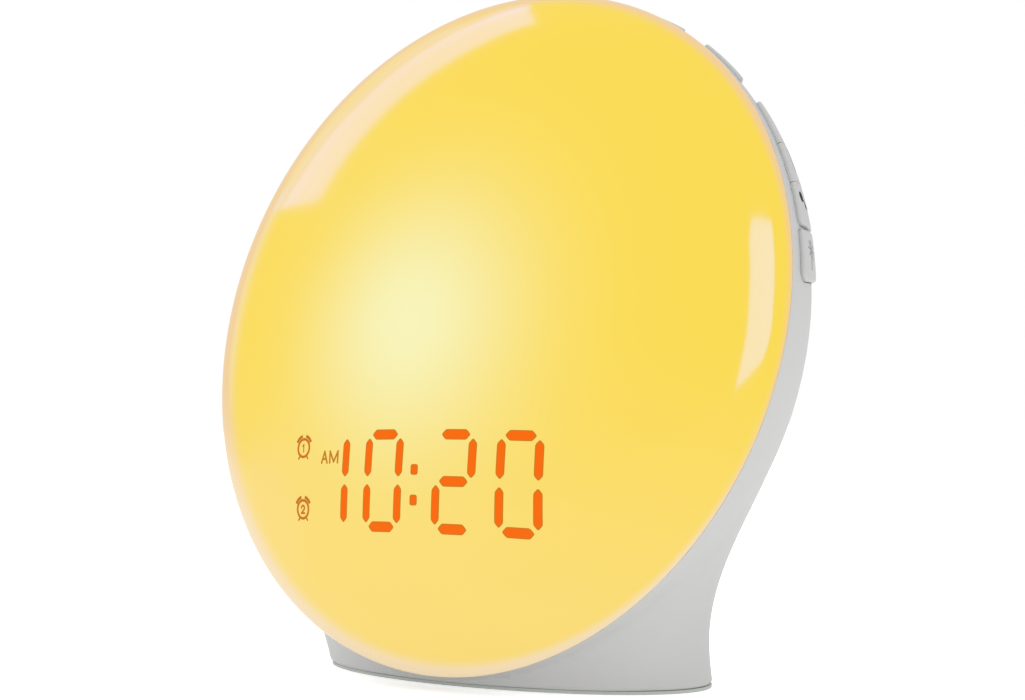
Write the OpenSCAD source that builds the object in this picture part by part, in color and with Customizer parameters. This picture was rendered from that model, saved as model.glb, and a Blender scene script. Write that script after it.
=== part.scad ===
// Sunrise alarm clock: a glowing round lens on a leaning case, with keys around its rim.
// The origin is the centre of the base's underside. +Z is up, and the lens faces -Y.
// Dial coordinates: x to the viewer's right, y up the lens, z out of the lens, with
// z = 0 on the plane where the lens meets the case.

/* [Dial] */
// Diameter of the lens and of the case's front edge
dial_d = 170; // [166:1:176]
// Backward lean of the dial in degrees
dial_tilt = 14; // [10:1:18]
// Gap between the lens's lowest point and the table
dial_gap = 2.5; // [2:0.1:5]
// Distance from the base's centre forward to the dial's centre
dial_forward = 8; // [5:0.5:11]

/* [Lens] */
// Rise of the lens's shallow crown
lens_crown = 13.5; // [10:0.5:16]
// Height of the lens's rounded edge
lens_edge = 14.5; // [12:0.5:17]
// Power of the edge's curve, higher for a squarer edge
lens_power = 8; // [6:1:12]
// Thickness of the lens
lens_wall = 2.2; // [1.6:0.1:3]
// Depth of the ring that the lens drops into the case
spigot_depth = 2.5; // [1.5:0.1:2.6]
// Thickness of that ring
spigot_wall = 1.85; // [1.2:0.05:2.4]
// Clearance around that ring, outside and inside
lens_fit = 0.1; // [0.05:0.05:0.4]

/* [Case] */
// Depth of the bowl behind the dial plane
bowl_depth = 51.4; // [48:0.2:56]
// Thickness of the case's wall
case_wall = 2.4; // [2:0.1:3]
// Size of the smooth blend between bowl and foot
blend = 15; // [10:1:20]
// Distance behind the dial plane over which the blend grows
blend_run = 14; // [10:1:20]
// Width of the foot at the table
base_w = 112.2; // [104:0.2:120]
// Depth of the foot at the table
base_d = 50; // [46:0.5:56]
// Width of the foot at its waist
waist_w = 112.6; // [104:0.2:120]
// Depth of the foot at its waist
waist_d = 49.2; // [46:0.2:56]
// Distance that the waist sits in front of the origin
waist_forward = 1.5; // [0:0.1:3]
// Height of the waist
waist_z = 11; // [8:1:16]
// Width of the foot's core at its shoulder
shoulder_w = 117; // [110:1:124]
// Depth of the foot's core at its shoulder
shoulder_d = 53.6; // [48:0.2:58]
// Distance that the shoulder sits behind the origin
shoulder_back = 0.6; // [0:0.1:3]
// Height of the shoulder
shoulder_z = 45; // [40:1:50]
// Radius of the case's bottom edge
foot_edge = 1.2; // [0.6:0.1:2]

/* [Keys] */
// How far the keys stand out of the case
key_proud = 1; // [0.6:0.1:1.6]
// Distance from the dial plane back to the keys' front edge
key_front = 3.8; // [3.6:0.1:5]
// Width of the keys, front to back
key_w = 13.2; // [10:0.2:14]
// Gap around each key in its slot
key_gap = 0.35; // [0.3:0.05:0.5]
// Travel of the keys
key_travel = 0.8; // [0.5:0.1:1]
// Play left between a pressed key and its switch
key_play = 0.1; // [0.05:0.05:0.3]
// Radius of a key's free corners
key_corner = 2; // [1:0.1:3]
// Radius of the corners between neighbours in the row
row_corner = 0.3; // [0.2:0.1:0.8]
// Thickness of the flange that keeps a key in
flange_t = 1.2; // [1:0.1:1.6]
// How far the flange reaches past the key, front and back
flange_lip = 0.9; // [0.6:0.1:1]
// Gap between the flange and the case's wall
flange_gap = 0.5; // [0.4:0.05:0.8]
// Angle of the upper side key above the dial's horizontal
upper_key_angle = 49.2; // [48:0.2:51]
// Length of the upper side key
upper_key_l = 15.3; // [12:0.1:16]
// Angle of the middle key in the row of three
row_angle = 26.25; // [25.5:0.25:27]
// Gap between neighbours in the row
row_gap = 0.57; // [0.4:0.01:0.7]
// Length of a key in the row
row_key_l = 10.7; // [9.6:0.1:10.8]
// Angle of the lowest side key
lower_key_angle = 9.3; // [8:0.1:9.8]
// Length of the lowest side key
lower_key_l = 11.6; // [9:0.1:12]
// Half the width of the snooze bar
snooze_half_w = 44; // [36:0.5:45]
// Distance from the dial's middle line to each of the snooze bar's switches
snooze_switch_x = 20; // [14:1:26]

/* [Switches] */
// Distance from the dial plane back to the keys' plungers
plunger_back = 10.8; // [10:0.1:12]
// Width of a plunger
plunger_w = 3; // [2:0.1:4]
// Distance from the key board's outer edge in to a switch's outer face
switch_in = 2; // [1.4:0.1:2.8]
// The same for the snooze bar's switches, which stand side by side
snooze_switch_in = 3.8; // [2.8:0.1:4.8]
// Depth of a switch's body
switch_d = 4.4; // [3.5:0.1:5]
// Width of a switch's body
switch_w = 6; // [4.5:0.1:6.5]
// Height of a switch's body over its board
switch_h = 5.6; // [4.6:0.1:6]
// Radius of a switch's button
switch_button_r = 1.5; // [1:0.1:1.8]
// Length of a switch's button
switch_button_l = 1; // [0.6:0.1:1.2]
// Distance from the dial plane back to the key board
key_board_back = 14; // [13.4:0.1:14.6]
// Distance from the dial's edge in to the key board's outer edge
key_board_edge = 11.2; // [10.5:0.1:12]
// Width of the key board's ring
key_board_w = 10.3; // [9.4:0.1:10.8]
// Angle by which the key board passes the horizontal at each end
key_board_over = 4; // [3:0.5:6]
// Distance from the key board's outer edge in to its screws
key_screw_in = 6.4; // [5.8:0.1:7.2]

/* [Light chamber] */
// Thickness of the reflector's flange and dish
dish_t = 2; // [1.6:0.1:2.4]
// Distance from the dial plane back to the reflector's flange
dish_back = 0.5; // [0.3:0.1:0.6]
// Width of the reflector's flat lip
dish_lip = 2.3; // [1.5:0.1:3]
// Radius of the reflector's flat floor
floor_r = 34; // [32:0.5:36]
// Distance from the dial plane back to that floor
floor_back = 14; // [13.4:0.1:14.6]
// Radius of the light board
light_board_r = 30; // [28:0.5:32]
// Thickness of the circuit boards
board_t = 1.4; // [1:0.1:1.6]
// Side of a light emitting diode
led_w = 5; // [3:0.5:5]
// Height of a light emitting diode
led_h = 1.6; // [1:0.1:2]
// Number of white diodes in the outer ring
white_count = 10; // [6:1:12]
// Radius of the ring of white diodes
white_ring_r = 21; // [19.5:0.5:22]
// Number of coloured diodes in the inner ring
colour_count = 5; // [3:1:6]
// Radius of the ring of coloured diodes
colour_ring_r = 11; // [9.5:0.5:12]

/* [Display] */
// Centre of the display to the right of the dial's centre
display_x = -2; // [-3:0.5:-1]
// Height of the display's centre over the dial's lowest point
display_up = 41.4; // [41:0.1:42]
// Width of the display's housing
display_w = 92; // [90:0.5:93]
// Height of the display's housing
display_h = 30; // [28:0.5:31]
// Distance from the dial plane forward to the display board
display_front = 4; // [3:0.5:5]
// Reach of the display board beyond the housing, up and down
display_margin = 1; // [0.5:0.5:1.5]
// Distance from the housing's ends out to the display board's two screws
display_screw_out = 4; // [4:0.1:5.5]
// Width of the tab that holds each of those screws
display_tab_w = 8; // [7:0.5:10]
// Gap between the display and the lens
display_gap = 0.3; // [0.2:0.05:0.6]
// Gap between a light guide and its shaft in the housing
guide_fit = 0.05; // [0.02:0.01:0.1]
// Height of the light guides' lower ends over the board
guide_lift = 1.6; // [1.2:0.1:2]
// Distance between a digit's left and right segments
digit_w = 9.6; // [9:0.1:10]
// Distance between neighbouring digits
digit_pitch = 17.1; // [16.5:0.1:17.4]
// Extra distance at the colon
colon_pitch = 3.7; // [3.4:0.1:4]
// Distance between a digit's top and middle segments
digit_rise = 10.4; // [10.2:0.1:10.8]
// Length of a segment
segment_l = 8.2; // [7.6:0.1:8.4]
// Thickness of a segment
segment_t = 2.2; // [1.8:0.1:2.4]
// Side of a colon dot
colon_w = 2.2; // [1.8:0.1:2.4]
// Distance between the colon's dots
colon_rise = 6.8; // [6:0.1:7.4]
// Place of the first digit's middle, from the display's centre
first_digit_x = -18.1; // [-18.6:0.1:-17.6]
// Distance of the clock symbols to the left of the first digit's middle
symbol_left = 10.6; // [9.9:0.1:11.3]
// Distance of the clock symbols above and below the display's centre
symbol_rise = 7.3; // [6.6:0.1:7.8]
// Radius of a clock symbol's ring
symbol_r = 2.1; // [1.8:0.1:2.3]
// Line width of the symbols and letters
stroke = 0.5; // [0.4:0.05:0.6]
// Distance of the letters' middle to the left of the first digit's
letters_left = 0.8; // [0.5:0.1:1.1]
// Height of the letters' middle over the display's centre
letters_rise = 5.5; // [5:0.1:6]
// Height of the letters
letters_h = 3; // [2.6:0.1:3.2]
// Width of the pair of letters
letters_w = 6.2; // [5.6:0.1:6.4]
// Gap between the two letters
letter_gap = 0.4; // [0.3:0.05:0.6]
// Margin around the letters in their shaft
letters_margin = 0.4; // [0.3:0.05:0.5]

/* [Main board] */
// Distance from the case screws' posts in to the main board's sides
main_side = 7; // [6.6:0.1:9]
// Distance from the case screws' posts in to the main board's upper and lower edges
main_end = 8; // [7:0.5:10]
// Distance from the dial plane back to the main board
main_back = 20; // [19:0.5:21]
// Distance of its screws in from its edges
main_screw_in = 5; // [4:0.5:6]
// Width of a wire socket
socket_w = 8; // [6:0.5:9]
// Depth and height of a wire socket
socket_d = 4.5; // [3.5:0.5:5]
// Side of the main chip
chip_w = 12; // [9:0.5:13]
// Height of the main chip
chip_h = 1.8; // [1.2:0.1:2.2]
// Width of the small chips
small_chip_w = 7; // [5:0.5:8]
// Depth of the small chips
small_chip_d = 5; // [4:0.5:6]
// Height of the small chips
small_chip_h = 1.6; // [1:0.1:2]
// Length of a resistor
resistor_l = 1.6; // [1:0.1:2]
// Width of a resistor
resistor_w = 0.8; // [0.5:0.1:1]
// Height of a resistor
resistor_h = 0.6; // [0.4:0.1:0.8]
// Distance between neighbouring resistors
resistor_pitch = 3; // [2.4:0.1:3.4]
// Radius of a capacitor
capacitor_r = 2.5; // [2:0.1:3]
// Height of a capacitor
capacitor_h = 6; // [5:0.5:8]

/* [Speaker] */
// Radius of the speaker's flange
speaker_r = 20.9; // [20:0.1:21.5]
// Radius of the speaker's cone
cone_r = 17.2; // [16:0.1:17.4]
// Distance from the dial plane back to the speaker's seat
speaker_back = 42; // [41:0.5:43]
// Thickness of the ring wall that the speaker sits on
seat_wall = 4; // [3:0.1:4.5]
// Thickness of the foam gasket
gasket_t = 0.8; // [0.5:0.1:1.2]
// Thickness of the speaker's flange
speaker_flange_t = 1.2; // [0.8:0.1:1.6]
// Depth of the speaker's basket over its flange
basket_h = 7; // [6:0.5:7.5]
// Radius of the magnet
magnet_r = 11; // [9:0.5:12]
// Height of the magnet
magnet_h = 5.5; // [4:0.5:6]
// Radius at which the speaker's screws sit
speaker_screw_r = 23.7; // [23.5:0.1:24.2]
// Radius of a grille hole
grille_hole_r = 1.2; // [0.8:0.1:1.4]
// Distance between the grille's rings of holes
grille_pitch = 4.2; // [3.8:0.1:4.6]
// Number of rings of grille holes
grille_rings = 3; // [2:1:3]

/* [Power socket] */
// Height of the socket's axis over the table
jack_z = 22; // [21:0.5:24]
// Distance from the origin back to the socket's panel
jack_seat = 20; // [19:0.5:21]
// Thickness of that panel
jack_panel = 3; // [2:0.5:3.5]
// Radius of the recess around the socket
jack_recess_r = 6.5; // [6.2:0.1:7]
// Wall around that recess
jack_recess_wall = 2.5; // [2:0.1:3]
// Radius of the socket's threaded barrel
jack_barrel_r = 4; // [3.8:0.1:4.2]
// Radius of the hole that the plug enters
jack_bore_r = 2.75; // [2.5:0.05:3]
// Depth of that hole
jack_bore_l = 9; // [8:0.5:10]
// Radius of the socket's centre pin
jack_pin_r = 1; // [0.8:0.05:1.2]
// Gap around the barrel in the panel
jack_fit = 0.1; // [0.05:0.05:0.3]
// Length of the barrel beyond the panel
jack_proud = 2.4; // [2:0.1:3]
// Thickness of the nut
nut_t = 1.8; // [1.4:0.1:2]
// Radius over the nut's corners
nut_r = 5.6; // [5.2:0.1:5.9]

/* [Base] */
// Thickness of the soft foot pad
pad_t = 0.8; // [0.6:0.1:1.2]
// How far the pad's edge stays inside the case's edge
pad_inset = 0.6; // [0.4:0.1:1]
// Thickness of the base plate
plate_t = 2.2; // [2:0.1:2.6]
// Gap around the base plate
plate_gap = 0.3; // [0.2:0.05:0.5]
// Distance of the base screws to each side of the middle
base_screw_x = 41.5; // [39:0.5:43]
// Distance of the base screws to the front and back of the middle
base_screw_y = 6.5; // [5:0.5:8]
// Height of the posts that take the base screws
base_post_h = 13; // [9:0.5:16]
// Length of the battery door
door_w = 38; // [37:0.5:40]
// Width of the battery door
door_d = 26; // [25:0.5:28]
// Thickness of the battery door
door_t = 1.4; // [1.2:0.1:1.5]
// Corner radius of the battery door
door_corner = 3; // [2:0.5:4]
// Gap around the battery door
door_gap = 0.3; // [0.2:0.05:0.5]
// Place of the cell's middle to the left of the door's middle
cell_x = -3; // [-3.5:0.1:-2.5]
// Place of the door's screw to the right of the door's middle
door_screw_x = 15; // [14.8:0.1:15.6]
// Radius of the coin cell
cell_r = 10; // [9.8:0.1:10.2]
// Thickness of the coin cell
cell_t = 3.2; // [2.4:0.1:3.2]
// Gap around the cell in its holder
cell_gap = 0.4; // [0.2:0.05:0.6]
// Wall of the cell's holder
holder_wall = 1.6; // [1.2:0.1:2]
// Thickness of the contact strips
contact_t = 0.4; // [0.3:0.05:0.6]

/* [Screws and leads] */
// Shank radius of the case screws
case_screw_r = 1.4; // [1.2:0.1:1.5]
// Head radius of the case screws
case_head_r = 2.8; // [2.4:0.1:3]
// Distance from the dial's edge in to the case screws
case_screw_in = 27.8; // [27.4:0.1:29]
// Angle of the case screws above and below the dial's horizontal
case_screw_angle = 36.47; // [36:0.01:37]
// Distance from the dial plane back to the joint between case and reflector posts
post_joint_back = 16.2; // [15.5:0.1:17]
// Distance from that joint back to the screw's seat
case_seat = 5.8; // [4:0.1:8]
// Wall around a screw's well
post_wall = 1.6; // [1.2:0.1:1.8]
// Shank radius of the small screws
small_screw_r = 1; // [0.8:0.05:1.1]
// Head radius of the small screws
small_head_r = 2; // [1.7:0.1:2.2]
// Height of the small screws' heads
small_head_h = 1.2; // [0.9:0.1:1.5]
// Shank length of the small screws below the board
small_screw_l = 5; // [4:0.5:6]
// Wall around a small screw's hole
boss_wall = 1.6; // [1.3:0.1:1.8]
// Room around a screw in the part that it passes through
screw_gap = 0.25; // [0.15:0.05:0.4]
// Radius of a lead
lead_r = 0.7; // [0.5:0.05:0.9]
// Gap between a lead's end and what it is soldered to
lead_gap = 0.2; // [0.1:0.05:0.4]
// Distance between the two leads of a pair
lead_pitch = 1.8; // [1.6:0.1:2.4]
// Width of the display's ribbon cable
ribbon_w = 20; // [16:1:24]
// Thickness of the ribbon cable
ribbon_t = 0.5; // [0.4:0.1:0.7]

/* [Hidden] */
$fn = 48;

CASE_GREY = [0.80, 0.80, 0.81];
KEY_GREY = [0.78, 0.78, 0.79];
LENS_YELLOW = [0.98, 0.86, 0.38];
DIGIT_ORANGE = [0.98, 0.42, 0.08];
BOARD_GREEN = [0.10, 0.42, 0.24];
PART_BLACK = [0.12, 0.12, 0.13];
PART_WHITE = [0.94, 0.94, 0.92];
STEEL = [0.74, 0.75, 0.77];
PAD_GREY = [0.55, 0.60, 0.57];

dial_r = dial_d / 2;
dial_sin = sin(dial_tilt);
dial_cos = cos(dial_tilt);
dial_z = dial_r * dial_cos + dial_gap;
case_top = norm([dial_r * dial_cos, bowl_depth * dial_sin]);
case_in_r = dial_r - case_wall;
spigot_r = case_in_r - 3 * lens_fit;
spigot_in = spigot_r - spigot_wall;
dish_r = spigot_in - lens_fit;
dish_edge_r = dish_r - dish_lip;
dish_slope = (floor_back - dish_back) / (dish_edge_r - floor_r);
far = 2 * dial_d;
tiny = 0.001;
half_turn = 180;

flange_top = case_wall + flange_gap;
key_depth = flange_top + flange_t;
key_back = key_front + key_w;
key_board_out = dial_r - key_board_edge;
key_board_in = key_board_out - key_board_w;
key_screw_r = key_board_out - key_screw_in;
switch_r = key_board_out - switch_in;
snooze_switch_r = key_board_out - snooze_switch_in;
switch_tip = switch_r + switch_button_l;
plunger_tip = switch_tip + key_travel + key_play;
snooze_tip = snooze_switch_r + switch_button_l + key_travel + key_play;

display_y = display_up - dial_r;
display_screw_span = display_w + 2 * display_screw_out;
guide_low = display_front + board_t + guide_lift;
led_small = 1.2;
speaker_top = gasket_t + speaker_flange_t - speaker_back;
case_screw_x = (dial_r - case_screw_in) * cos(case_screw_angle);
case_screw_y = (dial_r - case_screw_in) * sin(case_screw_angle);
main_w = 2 * (case_screw_x - main_side);
main_h = 2 * (case_screw_y - main_end);
main_screw_x = main_w / 2 - main_screw_in;
main_screw_y = main_h / 2 - main_screw_in;
shell_seat_back = post_joint_back + case_seat;
board_screw_pilot = small_screw_l + tiny;
plate_top = pad_t + plate_t;
door_top = pad_t + door_t;
cell_top = door_top + cell_t;
holder_r = cell_r + cell_gap + holder_wall;
holder_top = cell_top + 2 * contact_t + holder_wall;

// ---- the case's outer form: a tilted bowl blended into an oval foot ----

function clamped(t) = min(1, max(0, t));
function smooth(t) = let (c = clamped(t)) c * c * (3 - 2 * c);
function mix(a, b, t) = a + (b - a) * t;

// A foot measure that runs from the table through the waist to the shoulder
function foot_size(low, waist, high, z) =
    z < waist_z ? mix(waist, low, pow((waist_z - z) / waist_z, 2))
    : z < shoulder_z ? mix(waist, high, pow((z - waist_z) / (shoulder_z - waist_z), 2))
    : high;
// The foot's core closes like a dome above the shoulder, inside the bowl
function foot_close(z) = sqrt(max(tiny, 1 - pow(max(0, z - shoulder_z) / (dial_z - shoulder_z), 2)));
function foot_round(z) =
    z < pad_t + foot_edge ? foot_edge - sqrt(max(0, pow(foot_edge, 2) - pow(pad_t + foot_edge - z, 2))) : 0;
function foot_y(z) = foot_size(0, -waist_forward, shoulder_back, z);
function foot_a(z) = foot_size(base_w, waist_w, shoulder_w, z) / 2 * foot_close(z) - foot_round(z);
function foot_b(z) = foot_size(base_d, waist_d, shoulder_d, z) / 2 * foot_close(z) - foot_round(z);

// Signed distance, near the surface, to an ellipse or ellipsoid given a point over its radii
function round_gap(over, over2) = norm(over) * (norm(over) - 1) / max(norm(over2), tiny * tiny);
function foot_gap(x, y, z) =
    let (a = foot_a(z), b = foot_b(z), dy = y - foot_y(z))
    round_gap([x / a, dy / b], [x / (a * a), dy / (b * b)]);
function bowl_gap(x, up, out) =
    round_gap([x / dial_r, up / dial_r, out / bowl_depth],
              [x / pow(dial_r, 2), up / pow(dial_r, 2), out / pow(bowl_depth, 2)]);
// Bowl and foot, joined by a blend that starts at nothing on the dial plane
function case_gap(x, y, z) =
    let (
        dy = y + dial_forward,
        dz = z - dial_z,
        up = dy * dial_sin + dz * dial_cos,
        out = dz * dial_sin - dy * dial_cos,
        bowl = bowl_gap(x, up, out),
        foot = foot_gap(x, y, z),
        k = max(tiny, blend * smooth(-out / blend_run)),
        h = clamped(0.5 + 0.5 * (foot - bowl) / k)
    )
    mix(foot, bowl, h) - k * h * (1 - h);

// Middle line from which each level of the case is measured: foot below, bowl above
bowl_lean = dial_sin * dial_cos * (1 / pow(dial_r, 2) - 1 / pow(bowl_depth, 2))
    / (pow(dial_sin / dial_r, 2) + pow(dial_cos / bowl_depth, 2));
function level_y(z) =
    mix(foot_y(z), -dial_forward - (z - dial_z) * bowl_lean, smooth((z - shoulder_z * 2 / 3) / shoulder_z));
// Distance from the middle line to the skin that lies inset inside the case's outside
function reach(dx, dy, z, inset, near, beyond, left) =
    left == 0 ? near
    : let (m = (near + beyond) / 2, inside = case_gap(m * dx, level_y(z) + m * dy, z) < -inset)
        reach(dx, dy, z, inset, inside ? m : near, inside ? beyond : m, left - 1);

CASE_SIDES = 72;
REACH_STEPS = 15;
LOW_LEVELS = 19;
HIGH_LEVELS = 15;
LOW_START = 4;
HIGH_START = -16;
EDGE_STEP = 30;
function case_ring(z, inset) = [
    for (i = [0 : CASE_SIDES - 1])
        let (turn = 360 * i / CASE_SIDES, way = [dial_r * cos(turn), bowl_depth * sin(turn)])
        let (d = way / norm(way), r = reach(d[0], d[1], z, inset, 0, dial_d, REACH_STEPS))
        [r * d[0], level_y(z) + r * d[1], z]
];
function case_levels(inset) =
    let (top = case_top - inset, high = dial_z + top * sin(HIGH_START))
    concat(
        inset > 0 ? [-1] : [for (a = [0 : EDGE_STEP : 90]) pad_t + foot_edge * (1 - cos(a))],
        [for (i = [0 : LOW_LEVELS]) mix(LOW_START, high, i / LOW_LEVELS)],
        [for (i = [1 : HIGH_LEVELS]) dial_z + top * sin(mix(HIGH_START, 90, i / (HIGH_LEVELS + 1)))]
    );

// A solid whose outside lies inset inside the case's outside
module case_solid(inset) {
    levels = case_levels(inset);
    count = len(levels);
    summit = dial_z + case_top - inset;
    points = concat([for (z = levels) each case_ring(z, inset)], [[0, level_y(summit), summit]]);
    n = CASE_SIDES;
    last = (count - 1) * n;
    sides = [
        for (i = [0 : count - 2]) for (j = [0 : n - 1])
            let (a = i * n + j, b = i * n + (j + 1) % n)
            each [[a, a + n, b + n], [a, b + n, b]]
    ];
    cap = [for (j = [0 : n - 1]) [last + j, count * n, last + (j + 1) % n]];
    polyhedron(points, concat([[for (j = [0 : n - 1]) j]], sides, cap));
}

// ---- shared shapes ----

module in_dial() translate([0, -dial_forward, dial_z]) rotate([90 - dial_tilt, 0, 0]) children();
module both_sides() {
    children();
    mirror([1, 0, 0]) children();
}
module four_corners(x, y) for (sx = [-1, 1], sy = [-1, 1]) translate([sx * x, sy * y, 0]) children();
module turned(r, angles) for (a = angles) rotate([0, 0, a]) translate([r, 0, 0]) children();

function oval(a, b) = [
    for (i = [0 : CASE_SIDES - 1])
        let (q = 360 * i / CASE_SIDES)
        [a * cos(q), b * sin(q)]
];
CORNER_STEPS = 6;
function corner(cx, cy, r, from) = [
    for (i = [0 : CORNER_STEPS])
        let (a = from + 90 * i / CORNER_STEPS)
        [cx + r * cos(a), cy + r * sin(a)]
];
// Rounded rectangle with its own corner radius at each end of x
module rounded(w, h, r_low, r_high) polygon(concat(
    corner(w / 2 - r_high, h / 2 - r_high, r_high, 0),
    corner(r_low - w / 2, h / 2 - r_low, r_low, 90),
    corner(r_low - w / 2, r_low - h / 2, r_low, half_turn),
    corner(w / 2 - r_high, r_high - h / 2, r_high, 270)
));
module block(w, d, h) translate([-w / 2, -d / 2, 0]) cube([w, d, h]);

DRIVE_SHARE = 0.6;
// Screw with its seat at z = 0, its shank up +z and a crossed drive in its head
module screw(shank_r, shank_l, head_r, head_h) {
    drive = head_r * DRIVE_SHARE;
    slot = head_r / 4;
    cylinder(r = shank_r, h = shank_l);
    difference() {
        translate([0, 0, -head_h]) cylinder(r = head_r, h = head_h);
        for (a = [0, 90]) rotate([0, 0, a]) translate([0, 0, -head_h - tiny])
            block(2 * drive, slot, head_h / 2);
    }
}
module small_screw(shank_l) screw(small_screw_r, shank_l, small_head_r, small_head_h);

// Point on the bowl that lies back behind the dial plane, moved out by off
function skin(back, off) =
    let (a = asin(back / bowl_depth), n = [cos(a) / dial_r, -sin(a) / bowl_depth])
    [dial_r * cos(a), -back] + off * n / norm(n);
BAND_STEP = 2;
// Ring that follows the bowl between two offsets, deep enough for every key
module band(low, high) {
    backs = [for (b = [1 : BAND_STEP : key_back + 2 * BAND_STEP]) b];
    rim = [for (b = backs) skin(b, high)];
    inner = [for (i = [len(backs) - 1 : -1 : 0]) skin(backs[i], low)];
    rotate_extrude($fn = 96) polygon(concat(rim, inner));
}

LENS_STEPS = 8;
RIM_STEPS = 12;
CAP_SHARE = 0.7;
// Half of the lens's outline from the axis to the rim, drawn inset inside its outside
function crown(r, inset) =
    let (t = min(1, r / (dial_r - inset)))
    lens_crown * (1 - t * t) + (lens_edge - inset) * sqrt(max(0, 1 - pow(t, lens_power)));
rim_turn = acos(pow(CAP_SHARE, lens_power / 2));
function crown_shares() = concat(
    [for (i = [0 : LENS_STEPS - 1]) CAP_SHARE * i / LENS_STEPS],
    [for (i = [0 : RIM_STEPS]) pow(cos(rim_turn * (1 - i / RIM_STEPS)), 2 / lens_power)]
);
function crown_curve(inset) = [
    for (t = crown_shares()) let (r = t * (dial_r - inset)) [r, crown(r, inset)]
];
function crown_within(inset, r_max) = [for (p = crown_curve(inset)) if (p[0] < r_max) p];
function reversed(list) = [for (i = [len(list) - 1 : -1 : 0]) list[i]];

// Everything behind a surface that lies inset inside the lens's outside
module lens_room(inset) rotate_extrude($fn = 96) polygon(concat(crown_curve(inset), [[0, 0]]));

// ---- lens and light chamber ----

module front_lens() color(LENS_YELLOW) in_dial() rotate_extrude($fn = 96) polygon(concat(
    crown_curve(0),
    [[spigot_r, 0], [spigot_r, -spigot_depth]],
    [[spigot_in, -spigot_depth], [spigot_in, crown(spigot_in, lens_wall)]],
    reversed(crown_within(lens_wall, spigot_in))
));

// The reflector's front surface, as a height for each radius
function dish_z(r) = -dish_back - max(0, dish_edge_r - max(r, floor_r)) * dish_slope;
module dish_space(drop, height) rotate_extrude($fn = 96) polygon([
    [0, dish_z(0) - drop],
    [floor_r, dish_z(floor_r) - drop],
    [dish_edge_r, dish_z(dish_edge_r) - drop],
    [dish_r, dish_z(dish_r) - drop],
    [dish_r, height],
    [0, height]
]);
key_screw_angles = [-1.5, 41.6, 65, 115, 138.4, 181.5];
light_screw_angles = [90, 210, 330];
module case_posts_at() four_corners(case_screw_x, case_screw_y) children();
module reflector_rear_bosses() {
    case_posts_at() translate([0, 0, -post_joint_back]) cylinder(r = case_screw_r + 2 * post_wall, h = far);
    four_corners(main_screw_x, main_screw_y) translate([0, 0, -main_back])
        cylinder(r = small_screw_r + boss_wall, h = far);
    turned(key_screw_r, key_screw_angles) translate([0, 0, -key_board_back])
        cylinder(r = small_screw_r + boss_wall, h = far);
}
module display_posts_at() for (s = [-1, 1])
    translate([display_x + s * display_screw_span / 2, display_y, 0]) children();
ribbon_drop = 6.4;
ribbon_slot_y = display_y - ribbon_drop;
module reflector() color(PART_WHITE) in_dial() {
    difference() {
        intersection() {
            union() {
                difference() {
                    dish_space(dish_t, 0);
                    dish_space(0, dial_r);
                }
                difference() {
                    reflector_rear_bosses();
                    dish_space(dish_t / 2, dial_r);
                }
            }
            translate([0, 0, -dial_r]) cylinder(r = dish_r, h = dial_r - dish_back, $fn = 96);
        }
        case_posts_at() translate([0, 0, -post_joint_back - tiny])
            cylinder(r = case_screw_r, h = case_screw_bite);
        four_corners(main_screw_x, main_screw_y) translate([0, 0, -main_back - tiny])
            cylinder(r = small_screw_r, h = board_screw_pilot);
        turned(key_screw_r, key_screw_angles) translate([0, 0, -key_board_back - tiny])
            cylinder(r = small_screw_r, h = board_screw_pilot);
        turned(light_screw_r, light_screw_angles) translate([0, 0, -floor_back - dish_t - tiny])
            cylinder(r = small_screw_r, h = 2 * dish_t);
        translate([header_x, 0, -floor_back - 2 * dish_t]) block(header_d + 1, header_w + 1, 3 * dish_t);
        translate([display_x, ribbon_slot_y, -floor_back - dish_t])
            block(ribbon_w + 2, 2 + ribbon_t, floor_back);
    }
    difference() {
        display_posts_at() translate([0, 0, -floor_back]) difference() {
            cylinder(r = small_screw_r + boss_wall, h = floor_back + display_front);
            translate([0, 0, floor_back + display_front - small_screw_l])
                cylinder(r = small_screw_r, h = small_screw_l + 1);
        }
        translate([0, 0, -dish_t / 2]) dish_under();
    }
}
// Everything behind the reflector's front surface
module dish_under() rotate_extrude($fn = 96) polygon([
    [0, dish_z(0)],
    [floor_r, dish_z(floor_r)],
    [dish_edge_r, dish_z(dish_edge_r)],
    [dish_r, dish_z(dish_r)],
    [dish_r, -dial_r],
    [0, -dial_r]
]);
case_screw_bite = 8;

light_screw_in = 3;
light_screw_r = light_board_r - light_screw_in;
light_front = -floor_back + board_t;
module light_board() color(PART_WHITE) in_dial() difference() {
    translate([0, 0, -floor_back]) cylinder(r = light_board_r, h = board_t);
    turned(light_screw_r, light_screw_angles) translate([0, 0, -floor_back - 1])
        cylinder(r = small_screw_r + screw_gap, h = 2 + board_t);
}
LED_WINDOW = 0.36;
module led() difference() {
    block(led_w, led_w, led_h);
    translate([0, 0, led_h / 2]) cylinder(r = led_w * LED_WINDOW, h = led_h);
}
module white_leds() color([1, 0.95, 0.8]) in_dial() translate([0, 0, light_front])
    turned(white_ring_r, [for (i = [0 : white_count - 1]) 360 * i / white_count + 18]) led();
module colour_leds() color([0.95, 0.8, 0.8]) in_dial() translate([0, 0, light_front]) {
    turned(colour_ring_r, [for (i = [0 : colour_count - 1]) 360 * i / colour_count + 90]) led();
    led();
}
module light_board_screws() color(STEEL) in_dial() turned(light_screw_r, light_screw_angles)
    translate([0, 0, light_front]) mirror([0, 0, 1]) small_screw(board_t + dish_t);
header_x = -17;
header_w = 10;
header_d = 2.5;
module light_header() color(PART_BLACK) in_dial() translate([header_x, 0, -main_back])
    block(header_d, header_w, main_back - floor_back);

// ---- display ----

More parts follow.
